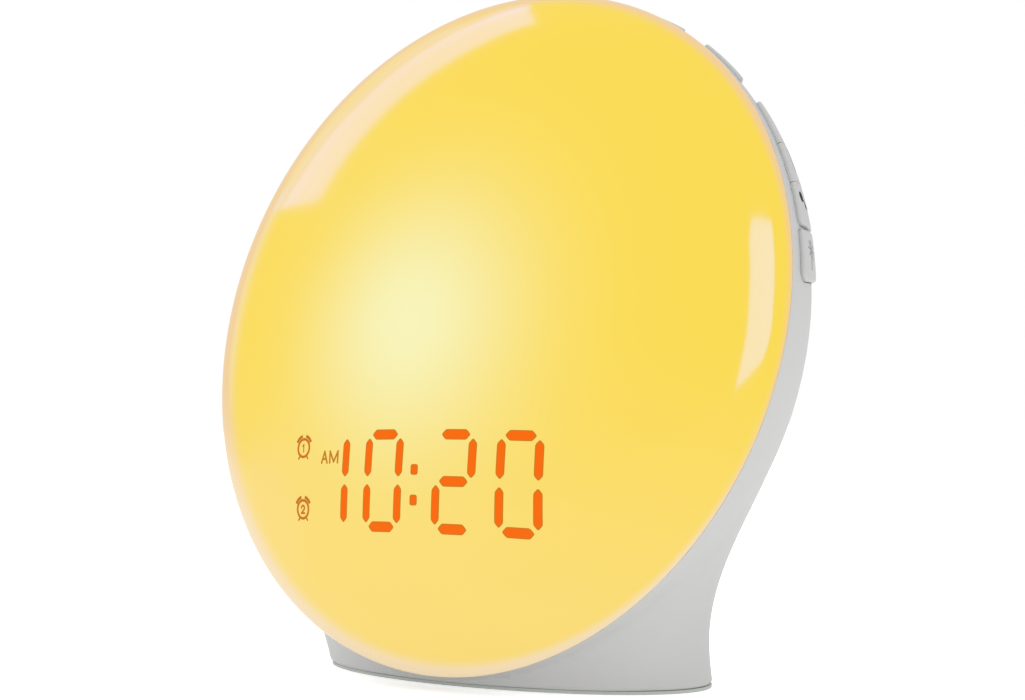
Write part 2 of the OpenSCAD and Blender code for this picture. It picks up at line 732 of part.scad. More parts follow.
digit_places = [for (i = [0 : 3]) first_digit_x + i * digit_pitch + (i > 1 ? colon_pitch : 0)];
colon_shift = 0.7;
colon_x = (digit_places[1] + digit_places[2]) / 2 - colon_shift;
module bar(grow) polygon([
    for (s = [-1, 1]) each let (l = segment_l / 2 + grow, t = segment_t / 2 + grow)
        [[s * l, 0], [s * (l - t), s * t], [-s * (l - t), s * t]]
]);
// The upright segments of a digit as [side, half]: the first digit leaves room for the letters
function uprights(first) = [for (x = [-1, 1], y = [-1, 1]) if (!first || x > 0 || y < 0) [x, y]];
function upright_at(p) = [p[0] * digit_w / 2, p[1] * digit_rise / 2];
module digit(grow, first) {
    for (y = [-digit_rise, 0, digit_rise]) translate([0, y]) bar(grow);
    for (p = uprights(first)) translate(upright_at(p)) rotate(90) bar(grow);
}
module segments(grow) {
    for (i = [0 : len(digit_places) - 1]) translate([digit_places[i], 0]) digit(grow, i == 0);
    for (y = [-1, 1]) translate([colon_x, y * colon_rise / 2]) square(colon_w + 2 * grow, center = true);
}
// A straight line of the symbols, from one point to another, with square ends
module line(from, to) {
    d = to - from;
    translate(from) rotate(atan2(d[1], d[0])) translate([-stroke / 2, -stroke / 2])
        square([norm(d) + stroke, stroke]);
}
module path(points) for (i = [0 : len(points) - 2]) line(points[i], points[i + 1]);
module clock_symbol() {
    difference() {
        circle(r = symbol_r);
        circle(r = symbol_r - stroke);
    }
    for (s = [-1, 1]) {
        line([s * symbol_r * 0.62, -symbol_r * 0.86], [s * symbol_r * 0.95, -symbol_r * 1.25]);
        rotate(-s * 38) translate([0, symbol_r + stroke]) intersection() {
            circle(r = symbol_r * 0.46);
            translate([-symbol_r, 0]) square([2 * symbol_r, symbol_r]);
        }
    }
}
numeral_h = 1.1;
module numeral_one() path([[-numeral_h / 3, numeral_h * 0.6], [0, numeral_h], [0, -numeral_h]]);
module numeral_two() path([
    [-numeral_h / 2, numeral_h * 0.6], [-numeral_h / 4, numeral_h], [numeral_h / 4, numeral_h],
    [numeral_h / 2, numeral_h * 0.5], [-numeral_h / 2, -numeral_h], [numeral_h / 2, -numeral_h]
]);
// The letters A and M, each half as wide as the pair less the gap between them
module letters() {
    h = letters_h / 2 - stroke / 2;
    w = (letters_w - letter_gap - 2 * stroke) / 4;
    place = (letters_w + letter_gap) / 4;
    translate([-place, 0]) {
        path([[-w, -h], [0, h], [w, -h]]);
        line([-w * 0.6, -h * 0.3], [w * 0.6, -h * 0.3]);
    }
    translate([place, 0]) path([[-w, -h], [-w, h], [0, -h * 0.4], [w, h], [w, -h]]);
}
module symbols() {
    translate([symbol_x, symbol_rise]) {
        clock_symbol();
        numeral_one();
    }
    translate([symbol_x, -symbol_rise]) {
        clock_symbol();
        numeral_two();
    }
    translate([letters_x, letters_rise]) letters();
}
symbol_x = first_digit_x - symbol_left;
letters_x = first_digit_x - letters_left;
cell_wall_r = symbol_r * 2;
module symbol_cells(grow) {
    for (s = [-1, 1]) translate([symbol_x, s * symbol_rise]) circle(r = cell_wall_r + grow);
    room = 2 * (letters_margin + grow);
    translate([letters_x, letters_rise]) square([letters_w + room, letters_h + room], center = true);
}
module to_lens(low) intersection() {
    translate([display_x, display_y, low]) linear_extrude(dial_r) children();
    lens_room(lens_wall + display_gap);
}
board_corner = 2.5;
module display_board() color(BOARD_GREEN) in_dial() difference() {
    translate([display_x, display_y, display_front]) union() {
        linear_extrude(board_t) rounded(
            display_w + 2 * display_margin, display_h + 2 * display_margin, board_corner, board_corner
        );
        block(display_screw_span + display_tab_w, display_tab_w, board_t);
    }
    display_posts_at() translate([0, 0, display_front - 1])
        cylinder(r = small_screw_r + screw_gap, h = 2 + board_t);
}
module display_housing() color(PART_WHITE) in_dial() difference() {
    to_lens(display_front + board_t) square([display_w, display_h], center = true);
    translate([display_x, display_y, 0]) linear_extrude(dial_r) {
        segments(guide_fit);
        symbol_cells(guide_fit);
    }
}
module segment_guides() color(DIGIT_ORANGE) in_dial() to_lens(guide_low) segments(0);
symbol_plate = 2;
module symbol_guides() color(DIGIT_ORANGE) in_dial() {
    translate([display_x, display_y, guide_low]) linear_extrude(symbol_plate) symbol_cells(0);
    to_lens(guide_low + symbol_plate / 2) symbols();
}
module small_led(x, y) translate([x, y, 0]) block(led_small, led_small, led_small);
module display_leds() color(PART_WHITE) in_dial()
    translate([display_x, display_y, display_front + board_t]) {
    for (i = [0 : len(digit_places) - 1]) {
        for (y = [-digit_rise, 0, digit_rise]) small_led(digit_places[i], y);
        for (p = uprights(i == 0)) small_led(digit_places[i] + upright_at(p)[0], upright_at(p)[1]);
    }
    for (sy = [-1, 1]) {
        small_led(colon_x, sy * colon_rise / 2);
        small_led(symbol_x, sy * symbol_rise);
    }
    small_led(letters_x, letters_rise);
}
module display_screws() color(STEEL) in_dial() display_posts_at() translate([0, 0, display_front + board_t])
    mirror([0, 0, 1]) small_screw(board_t + small_screw_l);
// The ribbon drops from the display board, passes the reflector and folds under the main board
ribbon_fold = 3;
ribbon_end_in = 6;
ribbon_end_y = ribbon_end_in - main_h / 2;
ribbon_low = -main_back - board_t - socket_d / 2;
function ribbon_bend(r) = corner(ribbon_slot_y + ribbon_fold, ribbon_low + ribbon_fold, r, half_turn);
module display_ribbon() color(PART_WHITE) in_dial() translate([display_x - ribbon_w / 2, 0, 0])
    rotate([90, 0, 90]) linear_extrude(ribbon_w) polygon(concat(
        [[ribbon_slot_y, display_front]],
        ribbon_bend(ribbon_fold),
        [[ribbon_end_y, ribbon_low], [ribbon_end_y, ribbon_low + ribbon_t]],
        reversed(ribbon_bend(ribbon_fold - ribbon_t)),
        [[ribbon_slot_y + ribbon_t, display_front]]
    ));

// ---- main board ----

module main_board() color(BOARD_GREEN) in_dial() difference() {
    translate([0, 0, -main_back - board_t]) block(main_w, main_h, board_t);
    four_corners(main_screw_x, main_screw_y) translate([0, 0, -main_back - board_t - 1])
        cylinder(r = small_screw_r + screw_gap, h = board_t + 2);
}
module on_main(x, y) translate([x, y, -main_back - board_t]) mirror([0, 0, 1]) children();
// The same, at shares of the board's half width and half height
module on_share(p) on_main(p[0] * main_w / 2, p[1] * main_h / 2) children();
CHIP_PLACE = [-0.44, 0.3];
SMALL_CHIP_PLACES = [[-0.05, 0.72], [0.52, 0.52], [0.4, -0.3], [-0.55, -0.42]];
CAPACITOR_PLACES = [[0.69, -0.1], [0.69, -0.54], [-0.79, -0.1]];
RESISTOR_PLACES = [[0.15, 0.1], [-0.5, -0.2]];
RESISTORS_IN_ROW = 4;
module board_chips() color(PART_BLACK) in_dial() {
    on_share(CHIP_PLACE) block(chip_w, chip_w, chip_h);
    for (p = SMALL_CHIP_PLACES) on_share(p) block(small_chip_w, small_chip_d, small_chip_h);
    for (p = RESISTOR_PLACES, i = [0 : RESISTORS_IN_ROW - 1])
        on_share(p) translate([i * resistor_pitch, 0, 0]) block(resistor_w, resistor_l, resistor_h);
}
module board_capacitors() color([0.2, 0.25, 0.3]) in_dial()
    for (p = CAPACITOR_PLACES) on_share(p) cylinder(r = capacitor_r, h = capacitor_h);
socket_side_in = 8;
socket_low_in = 5;
socket_under_screw = 9;
power_socket_x = 14;
battery_socket_x = -17;
speaker_socket = [main_w / 2 - socket_side_in, main_screw_y - socket_under_screw];
key_socket = [socket_side_in - main_w / 2, main_screw_y - socket_under_screw];
power_socket = [power_socket_x, socket_low_in - main_h / 2];
battery_socket = [battery_socket_x, socket_low_in - main_h / 2];
module board_sockets() color(PART_WHITE) in_dial() {
    for (p = [speaker_socket, key_socket]) on_main(p[0], p[1]) block(socket_d, socket_w, socket_d);
    for (p = [power_socket, battery_socket]) on_main(p[0], p[1]) block(socket_w, socket_d, socket_d);
    on_main(display_x, ribbon_end_y + socket_d / 2) block(ribbon_w + 2, socket_d, socket_d);
}
module main_board_screws() color(STEEL) in_dial() four_corners(main_screw_x, main_screw_y)
    translate([0, 0, -main_back - board_t]) small_screw(board_t + small_screw_l);

// ---- key board ----

row_pitch = 2 * atan2((row_key_l + row_gap) / 2, dial_r + key_proud);
row_angles = [row_angle + row_pitch, row_angle, row_angle - row_pitch];
side_angles = concat([upper_key_angle, lower_key_angle], row_angles);
module key_board() color(BOARD_GREEN) in_dial() difference() {
    rotate([0, 0, -key_board_over]) rotate_extrude(angle = half_turn + 2 * key_board_over, $fn = 96)
        translate([key_board_in, -key_board_back - board_t]) square([key_board_w, board_t]);
    turned(key_screw_r, key_screw_angles) translate([0, 0, -key_board_back - board_t - 1])
        cylinder(r = small_screw_r + screw_gap, h = board_t + 2);
}
module switch() translate([0, 0, -key_board_back]) {
    translate([-switch_d / 2, 0, 0]) block(switch_d, switch_w, switch_h);
    translate([-tiny, 0, key_board_back - plunger_back]) rotate([0, 90, 0])
        cylinder(r = switch_button_r, h = switch_button_l);
}
module key_switches() color(PART_BLACK) in_dial() {
    both_sides() turned(switch_r, side_angles) switch();
    rotate([0, 0, 90]) for (s = [-1, 1]) translate([snooze_switch_r, s * snooze_switch_x, 0]) switch();
}
module key_board_screws() color(STEEL) in_dial() turned(key_screw_r, key_screw_angles)
    translate([0, 0, -key_board_back - board_t]) small_screw(board_t + small_screw_l);

// ---- keys ----

// Upright outline of a key, pushed out along the radius
module key_prism(l, front, back, r_low, r_high) translate([0, 0, -(front + back) / 2]) rotate([90, 0, 90])
    linear_extrude(dial_d) rounded(l, back - front, r_low, r_high);
module wedge(half) {
    translate([0, 0, -bowl_depth]) linear_extrude(bowl_depth)
        polygon([[0, 0], dial_d * [cos(half), -sin(half)], dial_d * [cos(half), sin(half)]]);
}
// A key's body through the wall, and the flange behind the wall, both with radial ends
module key_body(l, half, r_low, r_high) {
    intersection() {
        key_prism(l, key_front, key_back, r_low, r_high);
        wedge(half);
        band(-key_depth, key_proud);
    }
    intersection() {
        key_prism(l, key_front - flange_lip, key_back + flange_lip, row_corner, row_corner);
        wedge(half);
        band(-key_depth, -flange_top);
    }
}
module rim_key(angle, l, r_low, r_high) color(KEY_GREY) in_dial() rotate([0, 0, angle]) {
    key_body(l, atan2(l / 2, dial_r + key_proud), r_low, r_high);
    translate([plunger_tip, 0, -plunger_back - plunger_w / 2])
        block_x(skin(plunger_back, -flange_top)[0] - plunger_tip, plunger_w, plunger_w);
}
module block_x(l, w, h) translate([0, -w / 2, 0]) cube([l, w, h]);
module key_slot(l, r_low, r_high) translate([dial_r - 3 * key_depth, 0, 0])
    key_prism(l + 2 * key_gap, key_front - key_gap, key_back + key_gap, r_low + key_gap, r_high + key_gap);
module key_slots() {
    both_sides() {
        rotate([0, 0, upper_key_angle]) key_slot(upper_key_l, key_corner, key_corner);
        rotate([0, 0, row_angles[0]]) key_slot(row_key_l, 0, key_corner);
        rotate([0, 0, row_angles[1]]) key_slot(row_key_l, 0, 0);
        rotate([0, 0, row_angles[2]]) key_slot(row_key_l, key_corner, 0);
        rotate([0, 0, lower_key_angle]) key_slot(lower_key_l, key_corner, key_corner);
    }
    rotate([0, 0, 90]) translate([-2 * key_depth, 0, 0])
        key_slot(2 * snooze_half_w, key_corner, key_corner);
}
module radio_key() rim_key(upper_key_angle, upper_key_l, key_corner, key_corner);
module volume_up_key() rim_key(row_angles[0], row_key_l, row_corner, key_corner);
module volume_down_key() rim_key(row_angles[1], row_key_l, row_corner, row_corner);
module sound_key() rim_key(row_angles[2], row_key_l, key_corner, row_corner);
module light_key() rim_key(lower_key_angle, lower_key_l, key_corner, key_corner);
module brightness_key() mirror([1, 0, 0]) radio_key();
module hour_key() mirror([1, 0, 0]) volume_up_key();
module minute_key() mirror([1, 0, 0]) volume_down_key();
module alarm_one_key() mirror([1, 0, 0]) sound_key();
module alarm_two_key() mirror([1, 0, 0]) light_key();
module snooze_bar() color(KEY_GREY) in_dial() rotate([0, 0, 90]) {
    key_body(2 * snooze_half_w, asin(snooze_half_w / (dial_r + key_proud)), key_corner, key_corner);
    snooze_in = sqrt(pow(skin(plunger_back, -flange_top)[0], 2) - pow(snooze_switch_x + plunger_w, 2));
    for (s = [-1, 1]) translate([snooze_tip, s * snooze_switch_x, -plunger_back - plunger_w / 2])
        block_x(snooze_in - snooze_tip, plunger_w, plunger_w);
}

// ---- rear shell ----

well_r = case_head_r + 2 * screw_gap;
post_r = well_r + post_wall;
speaker_post_r = small_screw_r + boss_wall;
speaker_screw_angles = [30, 150, 270];
module shell_posts() in_dial() {
    case_posts_at() translate([0, 0, -far]) cylinder(r = post_r, h = far - post_joint_back);
    translate([0, 0, -far]) difference() {
        cylinder(r = speaker_r, h = far - speaker_back);
        cylinder(r = speaker_r - seat_wall, h = far);
    }
    turned(speaker_screw_r, speaker_screw_angles) translate([0, 0, -far])
        cylinder(r = speaker_post_r, h = far + speaker_top);
}
module jack_axis() translate([0, 0, jack_z]) rotate([-90, 0, 0]) children();
module base_posts() for (sx = [-1, 1], sy = [-1, 1])
    translate([sx * base_screw_x, sy * base_screw_y, plate_top]) {
        cylinder(r = small_screw_r + boss_wall, h = base_post_h);
        translate([sx * base_w / 4, 0, 0]) block(base_w / 2, 2 * boss_wall, base_post_h);
    }
module shell_inside() difference() {
    case_solid(case_wall);
    shell_posts();
    jack_axis() translate([0, 0, jack_seat - jack_panel])
        cylinder(r = jack_recess_r + jack_recess_wall, h = far);
    base_posts();
}
module screw_wells() case_posts_at() {
    translate([0, 0, -far]) cylinder(r = well_r, h = far - shell_seat_back);
    translate([0, 0, -shell_seat_back - 1]) cylinder(r = case_screw_r + screw_gap, h = case_seat + 2);
}
module grille() translate([0, 0, -bowl_depth - 1]) {
    cylinder(r = grille_hole_r, h = bowl_depth - speaker_back + 1);
    for (i = [1 : grille_rings]) turned(i * grille_pitch, [for (j = [0 : 6 * i - 1]) 60 * j / i])
        cylinder(r = grille_hole_r, h = bowl_depth - speaker_back + 1);
}
rim_bore = spigot_depth + 0.6;
module rear_shell() color(CASE_GREY) difference() {
    case_solid(0);
    shell_inside();
    in_dial() {
        translate([-dial_d, -dial_d, 0]) cube([2 * dial_d, 2 * dial_d, dial_d]);
        translate([0, 0, -rim_bore]) cylinder(r = case_in_r, h = 2 * rim_bore, $fn = 96);
        key_slots();
        screw_wells();
        grille();
        turned(speaker_screw_r, speaker_screw_angles) translate([0, 0, speaker_top - small_screw_l])
            cylinder(r = small_screw_r, h = 2 * small_screw_l);
    }
    jack_axis() {
        translate([0, 0, jack_seat]) cylinder(r = jack_recess_r, h = base_d);
        cylinder(r = jack_barrel_r + jack_fit, h = base_d);
    }
    four_corners(base_screw_x, base_screw_y) cylinder(r = small_screw_r, h = plate_top + small_screw_l);
}
case_head_h = 1.8;
module case_screws() color(STEEL) in_dial() case_posts_at() translate([0, 0, -shell_seat_back])
    screw(case_screw_r, case_seat + case_screw_bite - 1, case_head_r, case_head_h);

// ---- speaker ----

basket_wall = 0.8;
basket_r = 12;
magnet_low = speaker_top + basket_h;
module speaker_frame() color(STEEL) in_dial() rotate_extrude($fn = 96) polygon([
    [cone_r, speaker_top - speaker_flange_t],
    [speaker_r, speaker_top - speaker_flange_t],
    [speaker_r, speaker_top],
    [cone_r + basket_wall, speaker_top],
    [basket_r, magnet_low],
    [0, magnet_low],
    [0, magnet_low - basket_wall],
    [basket_r - basket_wall, magnet_low - basket_wall],
    [cone_r, speaker_top - basket_wall / 2]
]);
module speaker_magnet() color(PART_BLACK) in_dial() translate([0, 0, magnet_low])
    cylinder(r = magnet_r, h = magnet_h);
paper_t = 0.4;
coil_r = 5;
cone_drop = 4;
module speaker_cone() color([0.2, 0.2, 0.2]) in_dial() translate([0, 0, speaker_top - speaker_flange_t])
    rotate_extrude($fn = 96) polygon([
        [cone_r, 0], [cone_r, paper_t], [cone_r - 2, paper_t], [coil_r, cone_drop], [coil_r, basket_h],
        [coil_r - paper_t, basket_h], [coil_r - paper_t, cone_drop - paper_t], [0, cone_drop - coil_r / 2],
        [0, cone_drop - coil_r / 2 - paper_t], [coil_r - paper_t, cone_drop - 2 * paper_t], [cone_r - 2, 0]
    ]);
module speaker_gasket() color(PART_BLACK) in_dial() translate([0, 0, -speaker_back]) difference() {
    cylinder(r = speaker_r, h = gasket_t);
    translate([0, 0, -1]) cylinder(r = speaker_r - seat_wall, h = gasket_t + 2);
}
clamp_head_r = 3.4;
module speaker_screws() color(STEEL) in_dial() turned(speaker_screw_r, speaker_screw_angles)
    translate([0, 0, speaker_top]) mirror([0, 0, 1])
        screw(small_screw_r, small_screw_l, clamp_head_r, small_head_h);

// ---- power socket ----

jack_body = 11;
jack_tail = jack_bore_l + 2;
jack_face = jack_seat + jack_proud;
jack_flange = 1.5;
module power_jack() color(PART_BLACK) jack_axis() {
    difference() {
        union() {
            translate([0, 0, jack_face - jack_tail]) cylinder(r = jack_barrel_r, h = jack_tail);
            translate([0, 0, jack_seat - jack_panel - jack_flange])
                cylinder(d = jack_body, h = jack_flange);
        }
        translate([0, 0, jack_face - jack_bore_l]) cylinder(r = jack_bore_r, h = jack_tail);
    }
    translate([0, 0, jack_face - jack_tail]) cylinder(r = jack_pin_r, h = jack_tail - 1);
}
module power_jack_nut() color(STEEL) jack_axis() translate([0, 0, jack_seat]) difference() {
    cylinder(r = nut_r, h = nut_t, $fn = 6);
    translate([0, 0, -1]) cylinder(r = jack_barrel_r, h = nut_t + 2);
}

// ---- base ----

plate_a = base_w / 2 - case_wall - foot_edge - plate_gap;
plate_b = base_d / 2 - case_wall - foot_edge - plate_gap;
base_head_h = 1.2;
module base_plate() color(CASE_GREY) difference() {
    translate([0, 0, pad_t]) linear_extrude(plate_t) polygon(oval(plate_a, plate_b));
    four_corners(base_screw_x, base_screw_y) {
        cylinder(r = small_screw_r + screw_gap, h = far);
        cylinder(r = small_head_r + screw_gap, h = pad_t + base_head_h);
    }
    linear_extrude(door_top)
        rounded(door_w + 2 * door_gap, door_d + 2 * door_gap, door_corner, door_corner);
    translate([cell_x, 0, 0]) cylinder(r = cell_r + cell_gap, h = far);
    translate([door_screw_x, 0, 0]) cylinder(r = small_screw_r, h = far);
}
module base_screws() color(STEEL) four_corners(base_screw_x, base_screw_y)
    translate([0, 0, pad_t + base_head_h])
        screw(small_screw_r, plate_t + small_screw_l - base_head_h, small_head_r, base_head_h);
pad_a = base_w / 2 - pad_inset;
pad_b = base_d / 2 - pad_inset;
pad_hole_gap = 1;
module foot_pad() color(PAD_GREY) difference() {
    linear_extrude(pad_t) polygon(oval(pad_a, pad_b));
    translate([0, 0, -1]) linear_extrude(pad_t + 2)
        rounded(door_w + 2 * pad_hole_gap, door_d + 2 * pad_hole_gap, door_corner, door_corner);
    four_corners(base_screw_x, base_screw_y) translate([0, 0, -1])
        cylinder(r = small_head_r + pad_hole_gap, h = pad_t + 2);
}
module battery_holder() color(PART_BLACK) difference() {
    union() {
        translate([cell_x, 0, plate_top]) cylinder(r = holder_r, h = holder_top - plate_top);
        translate([door_screw_x, 0, plate_top]) cylinder(r = small_screw_r + boss_wall, h = small_screw_l);
    }
    translate([cell_x, 0, 0]) cylinder(r = cell_r + cell_gap, h = holder_top - holder_wall);
    translate([door_screw_x, 0, 0]) cylinder(r = small_screw_r, h = far);
}
strip_w = 4;
module battery_contacts() color(STEEL) {
    translate([cell_x, 0, cell_top]) {
        cylinder(r = strip_w / 2, h = contact_t);
        translate([0, 0, contact_t]) block(cell_r, strip_w, contact_t);
    }
    translate([cell_x, 0, plate_top]) intersection() {
        difference() {
            cylinder(r = cell_r + cell_gap, h = cell_t);
            translate([0, 0, -1]) cylinder(r = cell_r + cell_gap / 2, h = cell_t + 2);
        }
        translate([-cell_r, 0, 0]) block(cell_r, strip_w, far);
    }
}
cell_lip = 0.5;
module coin_cell() color(STEEL) translate([cell_x, 0, door_top]) {
    cylinder(r = cell_r, h = cell_t - cell_lip);
    translate([0, 0, cell_t - cell_lip]) cylinder(r = cell_r - 2 * cell_lip, h = cell_lip);
}
door_grip_r = 0.6;
module battery_door() color(CASE_GREY) difference() {
    translate([0, 0, pad_t]) linear_extrude(door_t) rounded(door_w, door_d, door_corner, door_corner);
    translate([door_screw_x, 0, 0]) {
        cylinder(r = small_screw_r + screw_gap, h = far);
        cylinder(r = small_head_r + screw_gap, h = pad_t + door_sink);
    }
    for (i = [-2 : 2]) translate([cell_x + 3 * i, 0, pad_t]) rotate([90, 0, 0])
        cylinder(r = door_grip_r, h = door_d / 3, center = true);
}
door_sink = 0.7;
module battery_door_screw() color(STEEL) translate([door_screw_x, 0, pad_t + door_sink])
    screw(small_screw_r, small_screw_l, small_head_r, door_sink);

// ---- inner leads ----

LEAD_SIDES = 8;
LEAD_RINGS = 14;
function bezier(p, t) = let (s = 1 - t)
    s * s * s * p[0] + 3 * s * s * t * p[1] + 3 * s * t * t * p[2] + t * t * t * p[3];
function bezier_way(p, t) =
    let (s = 1 - t, d = s * s * (p[1] - p[0]) + 2 * s * t * (p[2] - p[1]) + t * t * (p[3] - p[2]))
    d / norm(d);
// Round lead along a curve with four control points; side is a direction off the curve's plane
module lead(p, side) {
    rings = [
        for (i = [0 : LEAD_RINGS])
            let (t = i / LEAD_RINGS, w = bezier_way(p, t), a = cross(w, side))
            let (u = a / norm(a), v = cross(w, u))
            each [
                for (j = [0 : LEAD_SIDES - 1])
                    let (q = 360 * j / LEAD_SIDES)
                    bezier(p, t) + lead_r * (u * cos(q) + v * sin(q))
            ]
    ];
    n = LEAD_SIDES;
    walls = [
        for (i = [0 : LEAD_RINGS - 1]) for (j = [0 : n - 1])
            let (a = i * n + j, b = i * n + (j + 1) % n)
            each [[a, a + n, b + n], [a, b + n, b]]
    ];
    start = [for (j = [0 : n - 1]) j];
    end = [for (j = [n - 1 : -1 : 0]) LEAD_RINGS * n + j];
    polyhedron(rings, concat([start], walls, [end]));
}
module lead_pair(p, side, gap) for (s = [-1, 1]) lead([for (q = p) q + s * lead_pitch / 2 * gap], side);
lead_z = -main_back - board_t - socket_d / 2;
lead_end = socket_d / 2 + lead_gap;
lead_pull = 8;
speaker_tag = basket_r + 1;
module speaker_leads() color("red") in_dial() lead_pair([
    [speaker_tag, 3, magnet_low + lead_r + lead_gap],
    [speaker_tag + lead_pull, 3, magnet_low + lead_r + lead_gap],
    [speaker_socket[0] + 2 * lead_pull, speaker_socket[1], lead_z],
    [speaker_socket[0] + lead_end, speaker_socket[1], lead_z]
], [0, 0, 1], [0, 1, -1] / norm([0, 1, -1]));
key_tag = (key_board_in + key_board_out) / 2;
module key_leads() color("white") in_dial() lead_pair([
    [-key_tag, 2, -key_board_back - board_t - lead_gap],
    [-key_tag, 2, -key_board_back - board_t - lead_pull],
    [key_socket[0] - 2 * lead_pull, key_socket[1], lead_z],
    [key_socket[0] - lead_end, key_socket[1], lead_z]
], [0, 1, 0], [0, 1, 0]);
// A place on the middle plane of the room, in dial coordinates, and a direction likewise
function dial_way(y, z) = [0, y * dial_sin + z * dial_cos, z * dial_sin - y * dial_cos];
function dial_place(x, y, z) = [x, 0, 0] + dial_way(y + dial_forward, z - dial_z);
jack_end = dial_place(0, jack_face - jack_tail - lead_gap, jack_z);
module power_leads() color("black") in_dial() lead_pair([
    jack_end,
    jack_end + lead_pull * dial_way(-1, 0),
    [power_socket[0], power_socket[1] - 2 * lead_pull, lead_z],
    [power_socket[0], power_socket[1] - lead_end, lead_z]
], [1, 0, 0], [1, 0, 0]);
holder_end = dial_place(cell_x - cell_r / 2, 0, holder_top + lead_gap);
module battery_leads() color("red") in_dial() lead_pair([
    holder_end,
    holder_end + lead_pull * dial_way(0, 1),
    [battery_socket[0], battery_socket[1] - 3 * lead_pull, lead_z],
    [battery_socket[0], battery_socket[1] - lead_end, lead_z]
], [1, 0, 0], [1, 0, 0]);

front_lens();
rear_shell();
reflector();
light_board();
white_leds();
colour_leds();
light_board_screws();
light_header();
display_board();
display_housing();
segment_guides();
symbol_guides();
display_leds();
display_screws();
display_ribbon();
main_board();
board_chips();
board_capacitors();
board_sockets();
main_board_screws();
key_board();
key_switches();
key_board_screws();
snooze_bar();
radio_key();
volume_up_key();
volume_down_key();
sound_key();
light_key();
brightness_key();
hour_key();
minute_key();
alarm_one_key();
alarm_two_key();
case_screws();
speaker_frame();
speaker_magnet();
speaker_cone();
speaker_gasket();
speaker_screws();
power_jack();
power_jack_nut();
base_plate();
base_screws();
foot_pad();
battery_holder();
battery_contacts();
coin_cell();
battery_door();
battery_door_screw();
speaker_leads();
key_leads();
power_leads();
battery_leads();
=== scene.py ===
"""Detailed pieces and finishes of a sunrise alarm clock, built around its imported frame.

Lengths are in metres. Dial coordinates run to the viewer's right, up the lens and out of it,
with their origin at the middle of the plane where the lens meets the case.
"""

import logging
import math
from collections.abc import Callable, Iterator, Sequence
from contextlib import contextmanager
from dataclasses import dataclass, field
from enum import Enum
from functools import cached_property

import bpy
import numpy as np
from mathutils import Matrix, Vector


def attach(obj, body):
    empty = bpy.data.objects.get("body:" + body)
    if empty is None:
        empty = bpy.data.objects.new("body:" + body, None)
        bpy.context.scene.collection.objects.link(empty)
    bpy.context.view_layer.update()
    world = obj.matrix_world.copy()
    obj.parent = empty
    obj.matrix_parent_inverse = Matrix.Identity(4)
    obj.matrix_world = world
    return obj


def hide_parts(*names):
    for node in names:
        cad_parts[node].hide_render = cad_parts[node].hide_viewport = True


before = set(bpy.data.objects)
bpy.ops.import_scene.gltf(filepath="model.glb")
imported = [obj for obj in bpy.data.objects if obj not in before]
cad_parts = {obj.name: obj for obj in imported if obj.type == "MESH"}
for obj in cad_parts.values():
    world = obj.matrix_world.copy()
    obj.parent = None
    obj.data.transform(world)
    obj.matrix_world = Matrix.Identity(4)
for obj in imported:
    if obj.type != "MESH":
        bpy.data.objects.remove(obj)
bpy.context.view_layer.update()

LOG = logging.getLogger("sunrise_clock")
MM = 0.001
FULL_TURN = 2 * math.pi
MERGE_LIMIT = 1e-6
NEVER_ZERO = 1e-9
IN_PLACE = Matrix.Identity(4)
WHITE = (1, 1, 1, 1)

Colour = tuple[float, float, float]
Form = Callable[[np.ndarray], np.ndarray]
Material = bpy.types.Material
Node = bpy.types.Node
Pair = tuple[float, float]
Piece = bpy.types.Object
Place = tuple[float, float, float]
Socket = bpy.types.NodeSocket


# ---- modelling helpers ----


def focus(piece: Piece) -> None:
    """Selects one object alone and makes it the active one."""
    if bpy.context.object and bpy.context.object.mode != "OBJECT":
        bpy.ops.object.mode_set(mode="OBJECT")
    bpy.ops.object.select_all(action="DESELECT")
    piece.select_set(True)
    bpy.context.view_layer.objects.active = piece


@contextmanager
def editing(piece: Piece, mode: str = "VERT", whole: bool = True) -> Iterator[None]:
    """Opens a mesh in edit mode and closes it again.

    Args:
        piece: The mesh object to edit.
        mode: The select mode, VERT, EDGE or FACE.
        whole: Whether all of it gets selected, or what was selected stays.
    """
    focus(piece)
    bpy.ops.object.mode_set(mode="EDIT")
    bpy.ops.mesh.select_mode(type=mode)
    if whole:
        bpy.ops.mesh.select_all(action="SELECT")
    yield
    bpy.ops.object.mode_set(mode="OBJECT")


def started(shape: str, name: str, **settings: object) -> Piece:
    """Adds a primitive, with nothing else selected, and names it."""
    bpy.ops.object.select_all(action="DESELECT")
    getattr(bpy.ops.mesh, f"primitive_{shape}_add")(**settings)
    piece = bpy.context.object
    piece.name = name
    return piece


def extruded(x: float, y: float, z: float) -> None:
    """Extrudes what is selected in edit mode by x, y and z."""
    bpy.ops.mesh.extrude_region_move(TRANSFORM_OT_translate={"value": (x, y, z)})


def pick(piece: Piece, test: Callable[[Vector], bool]) -> None:
    """Selects the vertices whose place passes a test, and nothing else."""
    for group in (piece.data.edges, piece.data.polygons):
        group.foreach_set("select", [False] * len(group))
    for vertex in piece.data.vertices:
        vertex.select = test(vertex.co)


def modify(piece: Piece, kind: str, **settings: object) -> None:
    """Adds a modifier with the given settings and applies it."""
    focus(piece)
    modifier = piece.modifiers.new(kind.lower(), kind)
    for key, value in settings.items():
        setattr(modifier, key, value)
    bpy.ops.object.modifier_apply(modifier=modifier.name)


def combine(piece: Piece, other: Piece, operation: str = "DIFFERENCE") -> None:
    """Cuts a closed mesh with another, or joins them, and uses the other one up."""
    modify(piece, "BOOLEAN", object=other, operation=operation, solver="MANIFOLD")
    bpy.data.objects.remove(other)


def moved(x: float, y: float = 0, z: float = 0) -> Matrix:
    """Gives the move by x, y and z."""
    return Matrix.Translation((x, y, z))


def turned(degrees: float, axis: str = "Z") -> Matrix:
    """Gives the turn about an axis by an angle in degrees."""
    return Matrix.Rotation(math.radians(degrees), 4, axis)


